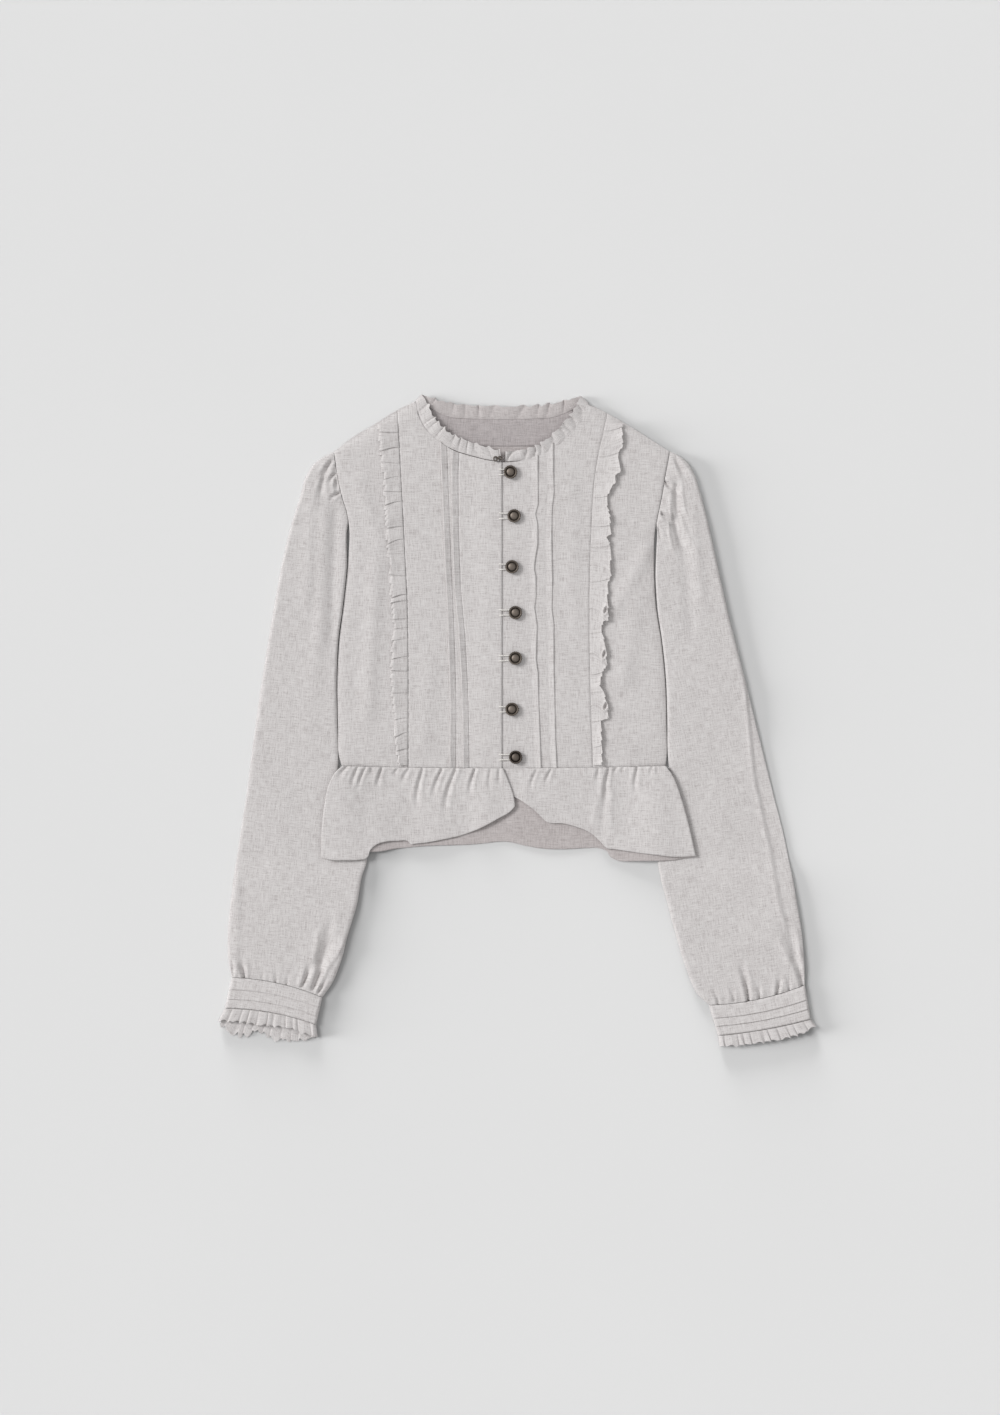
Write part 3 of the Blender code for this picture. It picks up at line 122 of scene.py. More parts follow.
# Fold edge of each tuck, from the waist upwards
RIGHT_TUCKS = (
    [(-41.0, 0.0), (-41.4, 50.4), (-43.1, 97.7), (-45.7, 143.8), (-50.2, 190.1), (-52.5, 251.3), (-53.2, 312.9),
     (-52.0, 344.4)],
    [(-55.0, 0.0), (-54.6, 71.4), (-55.7, 112.4), (-57.9, 174.3), (-60.2, 220.5), (-64.0, 312.9), (-65.6, 354.9)],
)  # fmt: skip
LEFT_TUCKS = (
    [(41.0, 0.0), (39.4, 45.1), (38.4, 71.4), (37.7, 100.3), (35.7, 114.1), (36.1, 129.6), (36.9, 149.5),
     (35.1, 161.9), (34.1, 168.0), (35.7, 180.4), (35.4, 201.9), (33.8, 208.1), (34.1, 214.3), (37.4, 235.8),
     (37.4, 255.9), (35.1, 266.7), (38.0, 277.4), (37.7, 312.9)],
    [(57.5, 0.0), (56.2, 29.4), (55.3, 71.4), (54.6, 100.3), (54.3, 120.3), (54.3, 151.2), (52.3, 166.5),
     (53.0, 197.4), (52.3, 220.5), (52.0, 248.2), (52.6, 272.8), (54.6, 289.8), (53.9, 312.9)],
)  # fmt: skip

# Frills: y, width; then the pleat edges that fall across them: y, slope from the seam outwards
RIGHT_FRILL = [
    (2.0, 10.0), (30.0, 13.0), (58.0, 15.0), (90.0, 18.0), (116.0, 18.0), (148.0, 14.5), (184.0, 16.5),
    (244.0, 18.0), (305.0, 18.0), (362.0, 21.5),
]  # fmt: skip
RIGHT_PLEATS = [
    (20.0, -0.3), (36.8, -0.5), (52.5, -0.25), (78.8, 0.0), (101.9, 0.05), (116.6, -0.25), (135.5, -0.2),
    (147.0, -0.15), (156.5, -0.1), (175.3, -0.2), (181.7, -0.35), (202.0, 0.1), (224.7, 0.0), (239.4, -0.45),
    (253.1, -0.15), (279.3, -0.35), (290.0, 0.0), (305.6, -0.3), (320.0, 0.1), (336.0, -0.3), (352.0, 0.05),
]  # fmt: skip
LEFT_FRILL = [
    (2.0, 9.2), (12.3, 9.7), (48.5, 9.8), (54.1, 17.5), (70.8, 17.2), (86.1, 9.7), (107.1, 15.5), (118.1, 18.0),
    (133.3, 16.0), (140.4, 12.6), (158.5, 13.6), (165.5, 18.9), (190.6, 18.9), (200.5, 22.4), (218.4, 21.5),
    (231.0, 20.7), (240.5, 16.5), (243.9, 20.5), (263.2, 18.6), (275.1, 15.1), (283.5, 15.4), (290.0, 16.6),
    (300.7, 21.8), (309.2, 21.3), (312.9, 25.3), (323.2, 21.2), (326.6, 21.6), (332.9, 24.7), (343.6, 21.8),
    (362.0, 17.5),
]  # fmt: skip
LEFT_PLEATS = [
    (22.0, 0.3), (48.3, 0.2), (64.1, -0.9), (78.8, 0.2), (98.0, 0.3), (118.7, -0.95), (141.0, 0.2), (165.9, -0.9),
    (195.3, 0.25), (212.0, -0.4), (231.0, 0.15), (253.0, 0.1), (283.5, 0.15), (309.8, -0.2), (326.6, 0.3),
    (353.9, 0.3),
]  # fmt: skip


class NeckPoint(NamedTuple):
    """The seam and the free edge of the neck ruffle at one place, and how many waves lie before it."""

    seam_x: float
    seam_y: float
    seam_z: float
    free_x: float
    free_y: float
    free_z: float
    wave: float


# From the right front's edge round the back to the left front's edge, folded over at rows 9 and 19
NECK_ROUTE = [
    NeckPoint(-0.7, 321.8, 6.7, -1.5, 333.0, 7.3, 0.0),
    NeckPoint(-12.2, 323.0, 6.2, -15.0, 336.6, 7.2, 1.0),
    NeckPoint(-30.3, 327.4, 5.2, -29.0, 340.4, 6.5, 2.6),
    NeckPoint(-48.9, 333.2, 5.0, -43.0, 346.2, 7.2, 4.2),
    NeckPoint(-62.8, 340.4, 5.0, -53.5, 351.0, 8.0, 5.5),
    NeckPoint(-76.8, 352.0, 4.9, -65.0, 361.4, 8.4, 7.0),
    NeckPoint(-86.0, 365.8, 4.8, -73.0, 371.8, 7.8, 8.3),
    NeckPoint(-89.0, 376.0, 4.6, -78.0, 382.5, 5.4, 9.3),
    NeckPoint(-89.9, 382.8, 4.3, -82.0, 388.8, 4.7, 10.0),
    NeckPoint(-90.4, 386.0, 2.7, -84.4, 391.8, 2.9, 10.5),
    NeckPoint(-86.5, 384.6, 1.3, -81.5, 391.0, 1.3, 11.0),
    NeckPoint(-75.0, 377.6, 0.9, -70.5, 387.6, 1.3, 12.0),
    NeckPoint(-56.0, 369.0, 0.8, -56.0, 383.2, 1.3, 13.2),
    NeckPoint(-30.0, 366.6, 0.8, -33.0, 380.8, 1.3, 14.7),
    NeckPoint(0.0, 366.0, 0.8, -1.0, 379.6, 1.3, 16.3),
    NeckPoint(30.0, 366.6, 0.8, 30.0, 380.2, 1.3, 17.9),
    NeckPoint(56.0, 369.0, 0.8, 55.5, 383.2, 1.3, 19.3),
    NeckPoint(75.0, 376.8, 0.9, 70.5, 387.0, 1.3, 20.5),
    NeckPoint(86.5, 382.0, 1.3, 80.0, 389.6, 1.3, 21.5),
    NeckPoint(90.6, 383.4, 2.7, 83.0, 390.2, 2.9, 22.0),
    NeckPoint(90.2, 380.0, 4.3, 81.0, 387.0, 4.7, 22.5),
    NeckPoint(88.6, 374.4, 4.6, 77.5, 380.6, 5.4, 23.2),
    NeckPoint(85.6, 366.6, 4.8, 73.0, 372.0, 6.1, 24.2),
    NeckPoint(80.6, 358.8, 4.9, 66.5, 364.6, 6.3, 25.2),
    NeckPoint(69.3, 347.2, 5.0, 57.0, 354.0, 6.4, 26.6),
    NeckPoint(55.5, 335.8, 5.0, 45.5, 344.0, 6.4, 28.0),
    NeckPoint(39.3, 327.7, 5.0, 34.0, 337.4, 6.4, 29.4),
    NeckPoint(25.4, 323.7, 5.0, 22.0, 333.6, 6.4, 30.6),
    NeckPoint(12.0, 322.0, 5.0, 11.0, 332.6, 6.4, 31.6),
    NeckPoint(3.4, 321.6, 5.0, 3.0, 332.0, 6.2, 32.5),
]

# Peplums: outlines from the side seam towards the front edge
RIGHT_PEPLUM_HEM = [
    (-189.6, -93.5), (-181.0, -96.0), (-165.0, -96.6), (-150.5, -96.2), (-141.4, -94.1), (-137.7, -85.5),
    (-130.2, -79.6), (-121.6, -77.2), (-110.0, -76.4), (-98.0, -77.2), (-95.2, -80.2), (-91.6, -79.6),
    (-78.8, -78.1), (-64.8, -75.5), (-46.5, -71.7), (-27.3, -65.1), (-2.1, -52.0), (9.0, -45.4), (13.6, -40.0),
]  # fmt: skip
RIGHT_PEPLUM_SIDE = [
    (-189.6, -93.5), (-189.0, -65.0), (-186.2, -40.0), (-180.6, -17.0), (-174.0, -6.0), (-167.5, -0.6)
]  # fmt: skip
RIGHT_PEPLUM_FRONT = [(13.6, -40.0), (12.4, -31.0), (8.0, -17.6), (1.0, -1.5)]
LEFT_PEPLUM_HEM = [
    (15.1, -31.2), (19.5, -33.8), (34.3, -44.6), (41.7, -52.0), (46.8, -56.4), (65.3, -58.4), (80.0, -62.4),
    (93.2, -68.3), (102.2, -76.3), (111.0, -84.4), (118.3, -85.2), (137.4, -88.1), (161.0, -91.0), (183.1, -93.2),
    (203.0, -92.2),
]  # fmt: skip
LEFT_PEPLUM_FRONT = [(15.1, -31.2), (2.0, -24.4), (-7.0, -14.0), (-12.0, -1.5)]
LEFT_PEPLUM_SIDE = [(203.0, -92.4), (198.5, -72.0), (192.2, -47.3), (186.0, -27.3), (178.2, -9.0), (171.5, -0.2)]
BACK_HEM = [
    (-188.6, -92.6), (-165.0, -91.5), (-138.6, -88.1), (-127.0, -87.4), (-113.0, -84.9), (-100.2, -83.6),
    (-78.8, -81.7), (-57.3, -81.0), (-35.7, -80.4), (-17.9, -79.0), (-6.0, -77.5), (6.3, -77.4), (24.2, -81.5),
    (41.7, -84.4), (65.3, -85.2), (87.4, -84.1), (102.2, -84.3), (110.0, -87.4), (114.0, -93.5), (122.0, -97.2),
    (138.9, -97.7), (161.0, -97.4), (175.8, -96.9), (190.5, -94.7), (201.6, -92.8),
]  # fmt: skip
BACK_PEPLUM_RIGHT = [
    (-188.6, -92.6), (-188.0, -65.0), (-185.2, -40.0), (-179.6, -17.0), (-173.2, -6.4), (-166.9, -0.9)
]  # fmt: skip
BACK_PEPLUM_LEFT = [(201.6, -92.8), (197.5, -72.0), (191.2, -47.3), (185.0, -27.3), (177.3, -9.4), (170.9, -0.5)]

# Gathers that run down from a seam: from x, y to x, y, half width, depth
RIGHT_GATHERS = [
    (-162.2, 2.1, -172.2, -12.5, 1.3, 1.6), (-151.7, 0.0, -157.5, -20.9, 1.2, 1.5),
    (-143.3, 0.0, -152.2, -26.1, 1.0, 1.2), (-137.0, 0.0, -136.5, -8.4, 0.9, 1.0),
    (-126.5, -1.1, -130.2, -20.9, 1.1, 1.7), (-110.2, -1.1, -113.4, -8.4, 1.0, 1.2),
    (-98.2, -1.1, -105.0, -16.7, 1.2, 1.2), (-83.5, -2.2, -89.2, -44.0, 1.3, 1.7),
    (-63.5, -2.2, -72.9, -33.4, 1.2, 1.5), (-48.8, -2.2, -60.8, -52.0, 1.4, 1.7),
    (-28.6, -2.2, -33.9, -31.4, 1.2, 1.7), (-12.6, -2.2, -11.6, -26.2, 1.1, 0.9),
    (-3.2, -2.2, -1.6, -19.9, 1.0, 1.0),
]  # fmt: skip
LEFT_GATHERS = [
    (35.7, -3.0, 29.4, -24.1, 1.0, 1.1), (50.9, -2.2, 45.7, -16.8, 1.0, 1.5), (101.3, -1.1, 99.8, -15.7, 1.1, 1.3),
    (111.7, -1.1, 109.2, -38.0, 1.3, 1.9), (121.3, 1.5, 116.6, -6.2, 0.9, 1.0), (128.1, 1.5, 125.0, -5.2, 0.9, 0.9),
    (142.1, 1.5, 140.2, -28.2, 1.2, 1.6), (157.5, 1.5, 155.4, -9.4, 0.9, 1.0), (162.2, 1.5, 164.3, -8.4, 0.9, 1.0),
    (109.5, -25.0, 106.6, -80.0, 2.6, 1.0),
]  # fmt: skip


class Section(NamedTuple):
    """One cross-section of a flattened sleeve: its two folded edges, height, gather and bow."""

    outer_x: float
    outer_y: float
    inner_x: float
    inner_y: float
    height: float
    gather: float
    bow: float


RIGHT_SLEEVE = [
    Section(-176.9, 331.8, -160.0, 258.0, 4.6, 0.5, 0.0),
    Section(-185.5, 327.6, -161.6, 247.0, 5.2, 1.7, 0.0),
    Section(-197.0, 319.2, -162.2, 232.0, 5.8, 2.1, 0.0),
    Section(-205.6, 306.0, -162.5, 214.0, 6.2, 1.9, 0.0),
    Section(-211.0, 287.0, -164.5, 193.0, 6.3, 1.5, 0.0),
    Section(-216.9, 268.8, -167.1, 170.0, 6.3, 1.1, 0.0),
    Section(-226.8, 232.7, -171.4, 138.0, 6.3, 0.7, 0.0),
    Section(-237.7, 176.4, -173.5, 96.0, 6.3, 0.5, 0.0),
    Section(-250.4, 100.0, -172.9, 52.0, 5.8, 0.4, 0.0),
    Section(-261.6, 22.0, -171.8, 8.0, 4.0, 0.2, 0.0),
    Section(-269.0, -34.0, -171.6, -32.0, 3.0, 0.1, 0.0),
    Section(-274.0, -66.0, -158.0, -64.0, 2.8, 0.1, 0.0),
    Section(-278.6, -96.0, -141.8, -96.0, 3.2, 0.2, 0.0),
    Section(-281.4, -114.0, -147.0, -114.0, 5.0, 0.3, 0.0),
    Section(-284.8, -142.0, -152.4, -144.0, 5.8, 0.7, 0.0),
    Section(-287.6, -172.0, -162.6, -178.0, 6.2, 1.2, 1.0),
    Section(-287.5, -196.0, -170.0, -206.0, 6.0, 1.9, 2.5),
    Section(-285.8, -210.0, -179.0, -227.0, 5.6, 2.2, 4.0),
    Section(-283.5, -219.4, -188.4, -240.4, 5.0, 0.6, 4.5),
]
LEFT_SLEEVE = [
    Section(176.4, 332.3, 160.6, 256.0, 4.6, 0.5, 0.0),
    Section(184.5, 328.8, 161.4, 246.0, 5.2, 1.7, 0.0),
    Section(193.5, 322.0, 161.0, 231.0, 5.8, 2.1, 0.0),
    Section(200.4, 311.5, 160.6, 212.0, 6.2, 1.9, 0.0),
    Section(207.6, 290.0, 161.4, 190.0, 6.3, 1.5, 0.0),
    Section(213.0, 270.0, 163.0, 168.0, 6.3, 1.1, 0.0),
    Section(221.4, 234.0, 167.3, 138.0, 6.3, 0.7, 0.0),
    Section(236.0, 168.0, 171.8, 96.0, 6.3, 0.5, 0.0),
    Section(254.6, 94.0, 173.4, 52.0, 5.8, 0.4, 0.0),
    Section(274.4, 14.0, 174.4, 8.0, 4.0, 0.2, 0.0),
    Section(286.4, -34.0, 178.6, -32.0, 3.0, 0.1, 0.0),
    Section(294.6, -66.0, 170.0, -64.0, 2.8, 0.1, 0.0),
    Section(301.4, -98.0, 163.6, -98.0, 3.2, 0.2, 0.0),
    Section(304.8, -114.0, 166.4, -115.0, 5.0, 0.3, 0.0),
    Section(309.6, -142.0, 174.0, -144.0, 5.8, 0.7, 0.0),
    Section(314.4, -172.0, 183.0, -178.0, 6.2, 1.2, -1.0),
    Section(316.8, -198.0, 193.0, -210.0, 6.0, 1.9, -2.5),
    Section(317.6, -214.0, 204.0, -236.0, 5.6, 2.2, -4.0),
    Section(317.6, -227.2, 217.2, -248.4, 5.0, 0.6, -4.6),
]
RIGHT_SLEEVE_CREASES = [
    (-179.6, 321.3, -187.9, 301.5, 1.5, 1.3), (-187.0, 303.5, -189.6, 280.8, 1.7, 1.0),
    (-175.3, 308.7, -183.7, 296.2, 1.3, 1.0), (-170.1, 288.8, -181.6, 281.4, 1.1, 1.1),
    (-174.2, 304.5, -170.1, 281.4, 1.2, 0.9), (-270.4, -219.4, -275.6, -200.7, 1.5, 1.8),
    (-282.4, -217.3, -284.0, -201.7, 1.0, 1.0), (-209.0, -227.8, -201.7, -203.9, 1.4, 1.7),
    (-197.4, -230.0, -188.0, -198.5, 1.6, 1.8), (-192.4, -236.0, -186.2, -218.5, 1.0, 1.1),
    (-237.3, -226.7, -238.4, -212.2, 1.0, 0.7), (-226.0, -227.7, -226.0, -216.2, 1.0, 0.7),
    (-251.0, -223.7, -252.4, -212.2, 1.0, 0.6), (-190.0, -204.5, -177.6, -168.3, 3.6, 1.9),
]  # fmt: skip
LEFT_SLEEVE_CREASES = [
    (170.2, 300.9, 184.8, 290.9, 1.4, 1.6), (183.2, 294.5, 189.0, 250.3, 2.2, 1.3),
    (168.1, 266.7, 182.7, 257.3, 1.4, 1.7), (181.0, 260.3, 195.2, 222.0, 2.8, 1.5),
    (163.8, 250.9, 168.5, 241.6, 1.1, 1.0), (182.8, 323.4, 196.3, 302.6, 1.6, 1.1),
    (258.3, -243.5, 249.0, -203.9, 1.5, 1.9), (269.9, -242.5, 268.3, -226.9, 1.0, 1.0),
    (288.2, -238.2, 290.6, -217.5, 1.2, 1.4), (315.8, -229.8, 303.5, -192.3, 1.9, 1.7),
    (306.5, -200.3, 290.9, -158.8, 2.8, 1.3), (242.6, -243.5, 240.0, -229.0, 1.0, 0.9),
    (226.7, -247.7, 221.5, -230.1, 1.0, 0.8), (301.0, -233.5, 299.5, -219.0, 1.0, 0.8),
]  # fmt: skip
RIGHT_SLEEVE_RIDGES = [
    (-199.0, 285.0, -205.0, 180.0, 7.0, 1.0), (-175.0, 262.0, -178.5, 144.0, 5.5, -1.5),
    (-187.0, 255.0, -192.0, 130.0, 6.0, 0.8), (-192.0, 150.0, -204.0, 40.0, 9.0, 0.5),
    (-277.0, -120.0, -278.5, -205.0, 3.6, 0.8), (-226.0, -20.0, -238.0, -120.0, 12.0, 0.3),
    (-171.0, -150.0, -181.0, -190.0, 5.0, 0.6), (-180.0, -165.0, -194.0, -205.0, 4.0, -1.3),
]  # fmt: skip
LEFT_SLEEVE_RIDGES = [
    (200.0, 262.0, 209.0, 180.0, 6.0, 1.1), (190.0, 235.0, 198.0, 150.0, 6.0, -1.0),
    (226.0, -20.0, 238.0, -130.0, 12.0, 0.3), (206.0, 60.0, 214.0, -20.0, 10.0, 0.2),
]  # fmt: skip
# The long fold beside the left sleeve's outer edge, from the shoulder down: x, y
LEFT_SLEEVE_FOLD = [(249.0, 112.0), (253.0, 95.6), (263.6, -9.5), (281.4, -89.3), (288.8, -136.5), (306.6, -203.0)]


class CuffShape(NamedTuple):
    """A cuff's corners with the bows of its edges, its two tuck lines, and its ruffle's free edges."""

    top_outer: tuple[float, float]
    top_inner: tuple[float, float]
    top_bow: float
    low_outer: tuple[float, float]
    low_inner: tuple[float, float]
    low_bow: float
    bands: tuple[float, float]
    over: list[tuple[float, float]]
    under: list[tuple[float, float]]


RIGHT_CUFF = CuffShape(
    (-283.6, -219.8), (-188.6, -240.9), 4.5, (-290.8, -252.0), (-195.0, -269.2), 4.2, (0.385, 0.70),
    [(-297.6, -264.8), (-278.0, -266.2), (-254.0, -269.6), (-236.0, -271.2), (-218.0, -274.0), (-206.0, -279.0),
     (-193.6, -281.6)],
    [(-297.6, -264.8), (-287.0, -277.4), (-272.0, -280.6), (-256.0, -276.6), (-238.0, -284.2), (-214.0, -285.4),
     (-193.6, -281.6)],
)  # fmt: skip
LEFT_CUFF = CuffShape(
    (317.8, -227.7), (217.0, -248.9), -4.6, (324.0, -263.4), (226.6, -280.6), -2.2, (0.42, 0.69),
    [(329.6, -270.0), (314.0, -278.6), (298.0, -283.6), (280.0, -286.8), (260.0, -289.6), (242.0, -291.4),
     (228.2, -291.6)],
    [(329.6, -270.0), (314.0, -277.2), (298.0, -282.4), (280.0, -285.4), (260.0, -288.4), (242.0, -290.2),
     (228.2, -291.6)],
)  # fmt: skip

BUTTONS = [(8.8, 310.4), (12.6, 264.4), (10.4, 211.0), (14.0, 163.0), (14.0, 115.2), (10.4, 61.6), (14.2, 11.4)]


class Half(Enum):
    """The two halves of the shirt, from its wearer's side; the value is the sign of x."""

    RIGHT = -1
    LEFT = 1

    @property
    def label(self) -> str:
        """The half's name in the names of pieces."""
        return self.name.lower()


class Held(Enum):
    """How a sheet of cloth keeps its shape."""

    LAID = "laid"
    GATHERED = "gathered"
    FOLDED = "folded"


class Slot(Enum):
    """The record's material slots."""

    SHIRTING = "shirting"
    FACING = "facing"
    BUTTON = "button_metal"
    THREAD = "loop_thread"


class Curve:
    """A smooth line through the rows of a table, read by its share of length."""

    def __init__(self, rows: Sequence[Row]) -> None:
        """Takes the rows; the first two columns are x and y."""
        self.rows = np.array(rows, float)
        steps = np.linalg.norm(np.diff(self.rows[:, :2], axis=0), axis=1)
        self.along = np.concatenate([[0.0], np.cumsum(steps)]) / steps.sum()
        self.slopes = np.gradient(self.rows, self.along, axis=0)

    def at(self, share: np.ndarray) -> np.ndarray:
        """All columns at shares of the length.

        Args:
            share: Shares from 0 to 1.

        Returns:
            One row of columns for each share.
        """
        share = np.clip(np.asarray(share, float), 0.0, 1.0)
        i = np.clip(np.searchsorted(self.along, share, side="right") - 1, 0, len(self.rows) - 2)
        span = (self.along[i + 1] - self.along[i])[..., None]
        t = (share - self.along[i])[..., None] / span
        start = (2 * t**3 - 3 * t**2 + 1) * self.rows[i] + (t**3 - 2 * t**2 + t) * span * self.slopes[i]
        end = (3 * t**2 - 2 * t**3) * self.rows[i + 1] + (t**3 - t**2) * span * self.slopes[i + 1]
        return start + end

    def value(self, given: np.ndarray, known: int, wanted: int) -> np.ndarray:
        """One column where another has a given value.

        Args:
            given: Values of the known column, which grows or falls all along.
            known: Index of the known column.
            wanted: Index of the wanted column.

        Returns:
            The wanted column's values.
        """
        line = self.at(np.linspace(0.0, 1.0, 800))
        order = np.argsort(line[:, known], kind="stable")
        return np.interp(given, line[order, known], line[order, wanted])


@dataclass(frozen=True)
class Unevenness:
    """Random slow waves, as in cloth that was smoothed by hand."""

    seed: int
    shortest: float
    longest: float
    height: float
    count: int = 26

    def at(self, x: np.ndarray, y: np.ndarray) -> np.ndarray:
        """The height at plan points.

        Args:
            x: Plan coordinates in mm.
            y: Plan coordinates in mm.

        Returns:
            Heights in mm, about zero on average.
        """
        draw = np.random.default_rng(self.seed)
        lengths = np.exp(draw.uniform(math.log(self.shortest), math.log(self.longest), self.count))
        turns, phases = draw.uniform(0, math.pi, self.count), draw.uniform(0, math.tau, self.count)
        sizes = (lengths / self.longest) ** 0.9
        total = sum(
            size * np.sin(math.tau * (x * math.cos(a) + y * math.sin(a)) / length + phase)
            for size, a, length, phase in zip(sizes, turns, lengths, phases)
        )
        return self.height * total / math.sqrt(float((sizes**2).sum()) / 2)


LAID = Unevenness(seed=11, shortest=26.0, longest=120.0, height=0.13)
CRUMPLE = Unevenness(seed=23, shortest=6.0, longest=17.0, height=0.035)


def smooth(share: np.ndarray | float) -> np.ndarray:
    """0 below 0, 1 above 1 and a soft step between."""
    t = np.clip(share, 0.0, 1.0)
    return t * t * (3.0 - 2.0 * t)


def quarter_round(share: np.ndarray) -> np.ndarray:
    """The height of a quarter circle over its base."""
    t = 1.0 - np.clip(share, 0.0, 1.0)
    return np.sqrt(1.0 - t * t)


def near(distance: np.ndarray | float, reach: float) -> np.ndarray:
    """1 at no distance, about a third at the reach and 0 from about twice the reach."""
    return np.exp(-((distance / reach) ** 2))


def uneven(x: np.ndarray, y: np.ndarray) -> np.ndarray:
    """The unevenness that all laid pieces share, in mm."""
    return LAID.at(x, y) + CRUMPLE.at(x, y)


def ridges(table: Sequence[Row], x: np.ndarray, y: np.ndarray) -> np.ndarray:
    """Sum of the soft ridges of a table.

    Args:
        table: Rows of x, y, x, y, half width and height.
        x: Plan coordinates.
        y: Plan coordinates.

    Returns:
        Heights in mm.
    """
    total = np.zeros(np.broadcast(x, y).shape)
    for x0, y0, x1, y1, half_width, height in table:
        length = math.hypot(x1 - x0, y1 - y0)
        along = np.clip(((x - x0) * (x1 - x0) + (y - y0) * (y1 - y0)) / length**2, -0.2, 1.2)
        away = np.hypot(x - x0 - along * (x1 - x0), y - y0 - along * (y1 - y0))
        total += height * near(away, half_width) * smooth(5 * along + 1) * smooth(6 - 5 * along)
    return total


def creases(table: Sequence[Row], x: np.ndarray, y: np.ndarray) -> np.ndarray:
    """Sum of narrow grooves with raised shoulders, each starting sharp and fading out.

    Args:
        table: Rows of x, y, x, y, half width and depth, from the seam outwards.
        x: Plan coordinates.
        y: Plan coordinates.

    Returns:
        Heights in mm, below 0 in the grooves.
    """
    total = np.zeros(np.broadcast(x, y).shape)
    for x0, y0, x1, y1, half_width, depth in table:
        length = math.hypot(x1 - x0, y1 - y0)
        ax, ay = (x1 - x0) / length, (y1 - y0) / length
        along = ((x - x0) * ax + (y - y0) * ay) / length
        off = (y - y0) * ax - (x - x0) * ay + 0.05 * length * np.sin(math.pi * np.clip(along, 0, 1))
        width = half_width * (1.0 + 0.8 * np.clip(along, 0, 1))
        fade = smooth((along + 0.15) / 0.15) * smooth((1.1 - along) / 0.7)
        shoulders = near(np.abs(off) - 2.5 * width, 1.7)
        total += depth * fade * (0.35 * shoulders - near(off, width))
    return total


def patch(low: Line, high: Line, start: Line, end: Line, us: np.ndarray, vs: np.ndarray) -> np.ndarray:
    """Plan points that fill four edges.

    Args:
        low: Edge that runs along u, at v = 0.
        high: Edge that runs along u, at v = 1.
        start: Edge that runs along v, at u = 0.
        end: Edge that runs along v, at u = 1.
        us: Shares of the columns.
        vs: Shares of the rows.

    Returns:
        Points by row and column.
    """
    us, column = np.asarray(us, float), np.asarray(vs, float)[:, None, None]
    low_points, high_points = low(us), high(us)
    start_points, end_points = start(column[:, 0, 0])[:, None, :], end(column[:, 0, 0])[:, None, :]
    u = us[None, :, None]
    between = (1 - column) * low_points + column * high_points + (1 - u) * start_points + u * end_points
    corners = (
        (1 - u) * (1 - column) * low_points[0] + u * (1 - column) * low_points[-1]
        + (1 - u) * column * high_points[0] + u * column * high_points[-1]
    )  # fmt: skip
    return between - corners


def raised(plan: np.ndarray, height: np.ndarray) -> np.ndarray:
    """Plan points with their heights."""
    return np.dstack([plan[..., :2], np.broadcast_to(height, plan.shape[:2])])


# Curves that several pieces share
SHOULDERS = {Half.RIGHT: Curve(RIGHT_SHOULDER), Half.LEFT: Curve(LEFT_SHOULDER)}
SIDES = {Half.RIGHT: Curve(RIGHT_SIDE), Half.LEFT: Curve(LEFT_SIDE)}
PRINCESS = {Half.RIGHT: Curve(RIGHT_PRINCESS), Half.LEFT: Curve(LEFT_PRINCESS)}
NECKLINE = Curve(FRONT_NECK)


def waist_y(x: np.ndarray) -> np.ndarray:
    """The waist seam, which bows up a little at the sides."""
    return WAIST_BOW * (x / WAIST_HALF) ** 2


def front_lie(x: np.ndarray, y: np.ndarray) -> np.ndarray:
    """Height of the upper face of the front, which lies loosely on the back.

    Args:
        x: Plan coordinates.
        y: Plan coordinates.

    Returns:
        Heights in mm.
    """
    right_gap = x - SIDES[Half.RIGHT].value(y, 1, 0)
    left_gap = SIDES[Half.LEFT].value(y, 1, 0) - x
    shoulder = 332.0 + (176.0 - np.abs(x)) * 0.62 - y
    held_up = ARMHOLE_SHARE * smooth((y - 222.0) / 26.0)  # the sleeve's seam holds the front up
    side = held_up + (1 - held_up) * quarter_round(np.where(x < 0, right_gap, left_gap) / SIDE_ROLL)
    share = side * quarter_round(shoulder / SHOULDER_ROLL)
    share = share * (WAIST_SHARE + (1 - WAIST_SHARE) * smooth(y / WAIST_RISE))
    loft = (FRONT_LOFT + ridges(FRONT_RIDGES, x, y)) * share
    waist = near(y - waist_y(x), 1.3) * 0.55
    return 2 * CLOTH + SEAM + loft + uneven(x, y) - waist + waist_puckers(x, y)


def waist_puckers(x: np.ndarray, y: np.ndarray) -> np.ndarray:
    """Little puckers that the gathered waist seam pulls into the cloth above it."""
    phase = x / 1.25 + 1.5 * np.sin(x / 17.0)
    return 0.16 * np.sin(phase) * near(y - waist_y(x), 7.0)


def seam_dip(gap: np.ndarray, y: np.ndarray) -> np.ndarray:
    """The groove of a pressed seam and the faint puckers beside it."""
    return -0.5 * near(gap, 0.9) + 0.13 * np.sin(y / 1.6 + 2.0 * np.sin(y / 23.0)) * near(gap - 2.0, 4.5)


def front_overlap(x: np.ndarray) -> np.ndarray:
    """Lift of the right front where it lies on the left one."""
    return LIFT * smooth((x + 3.2 * OVERLAP) / (2.2 * OVERLAP))


def linear(code: str) -> tuple[float, float, float, float]:
    """Turns an sRGB hex colour to linear.

    Args:
        code: Six hex digits.

    Returns:
        Red, green, blue and 1.
    """
    parts = [int(code[i : i + 2], 16) / 255 for i in (0, 2, 4)]
    red, green, blue = (c / 12.92 if c <= 0.04045 else ((c + 0.055) / 1.055) ** 2.4 for c in parts)
    return red, green, blue, 1.0


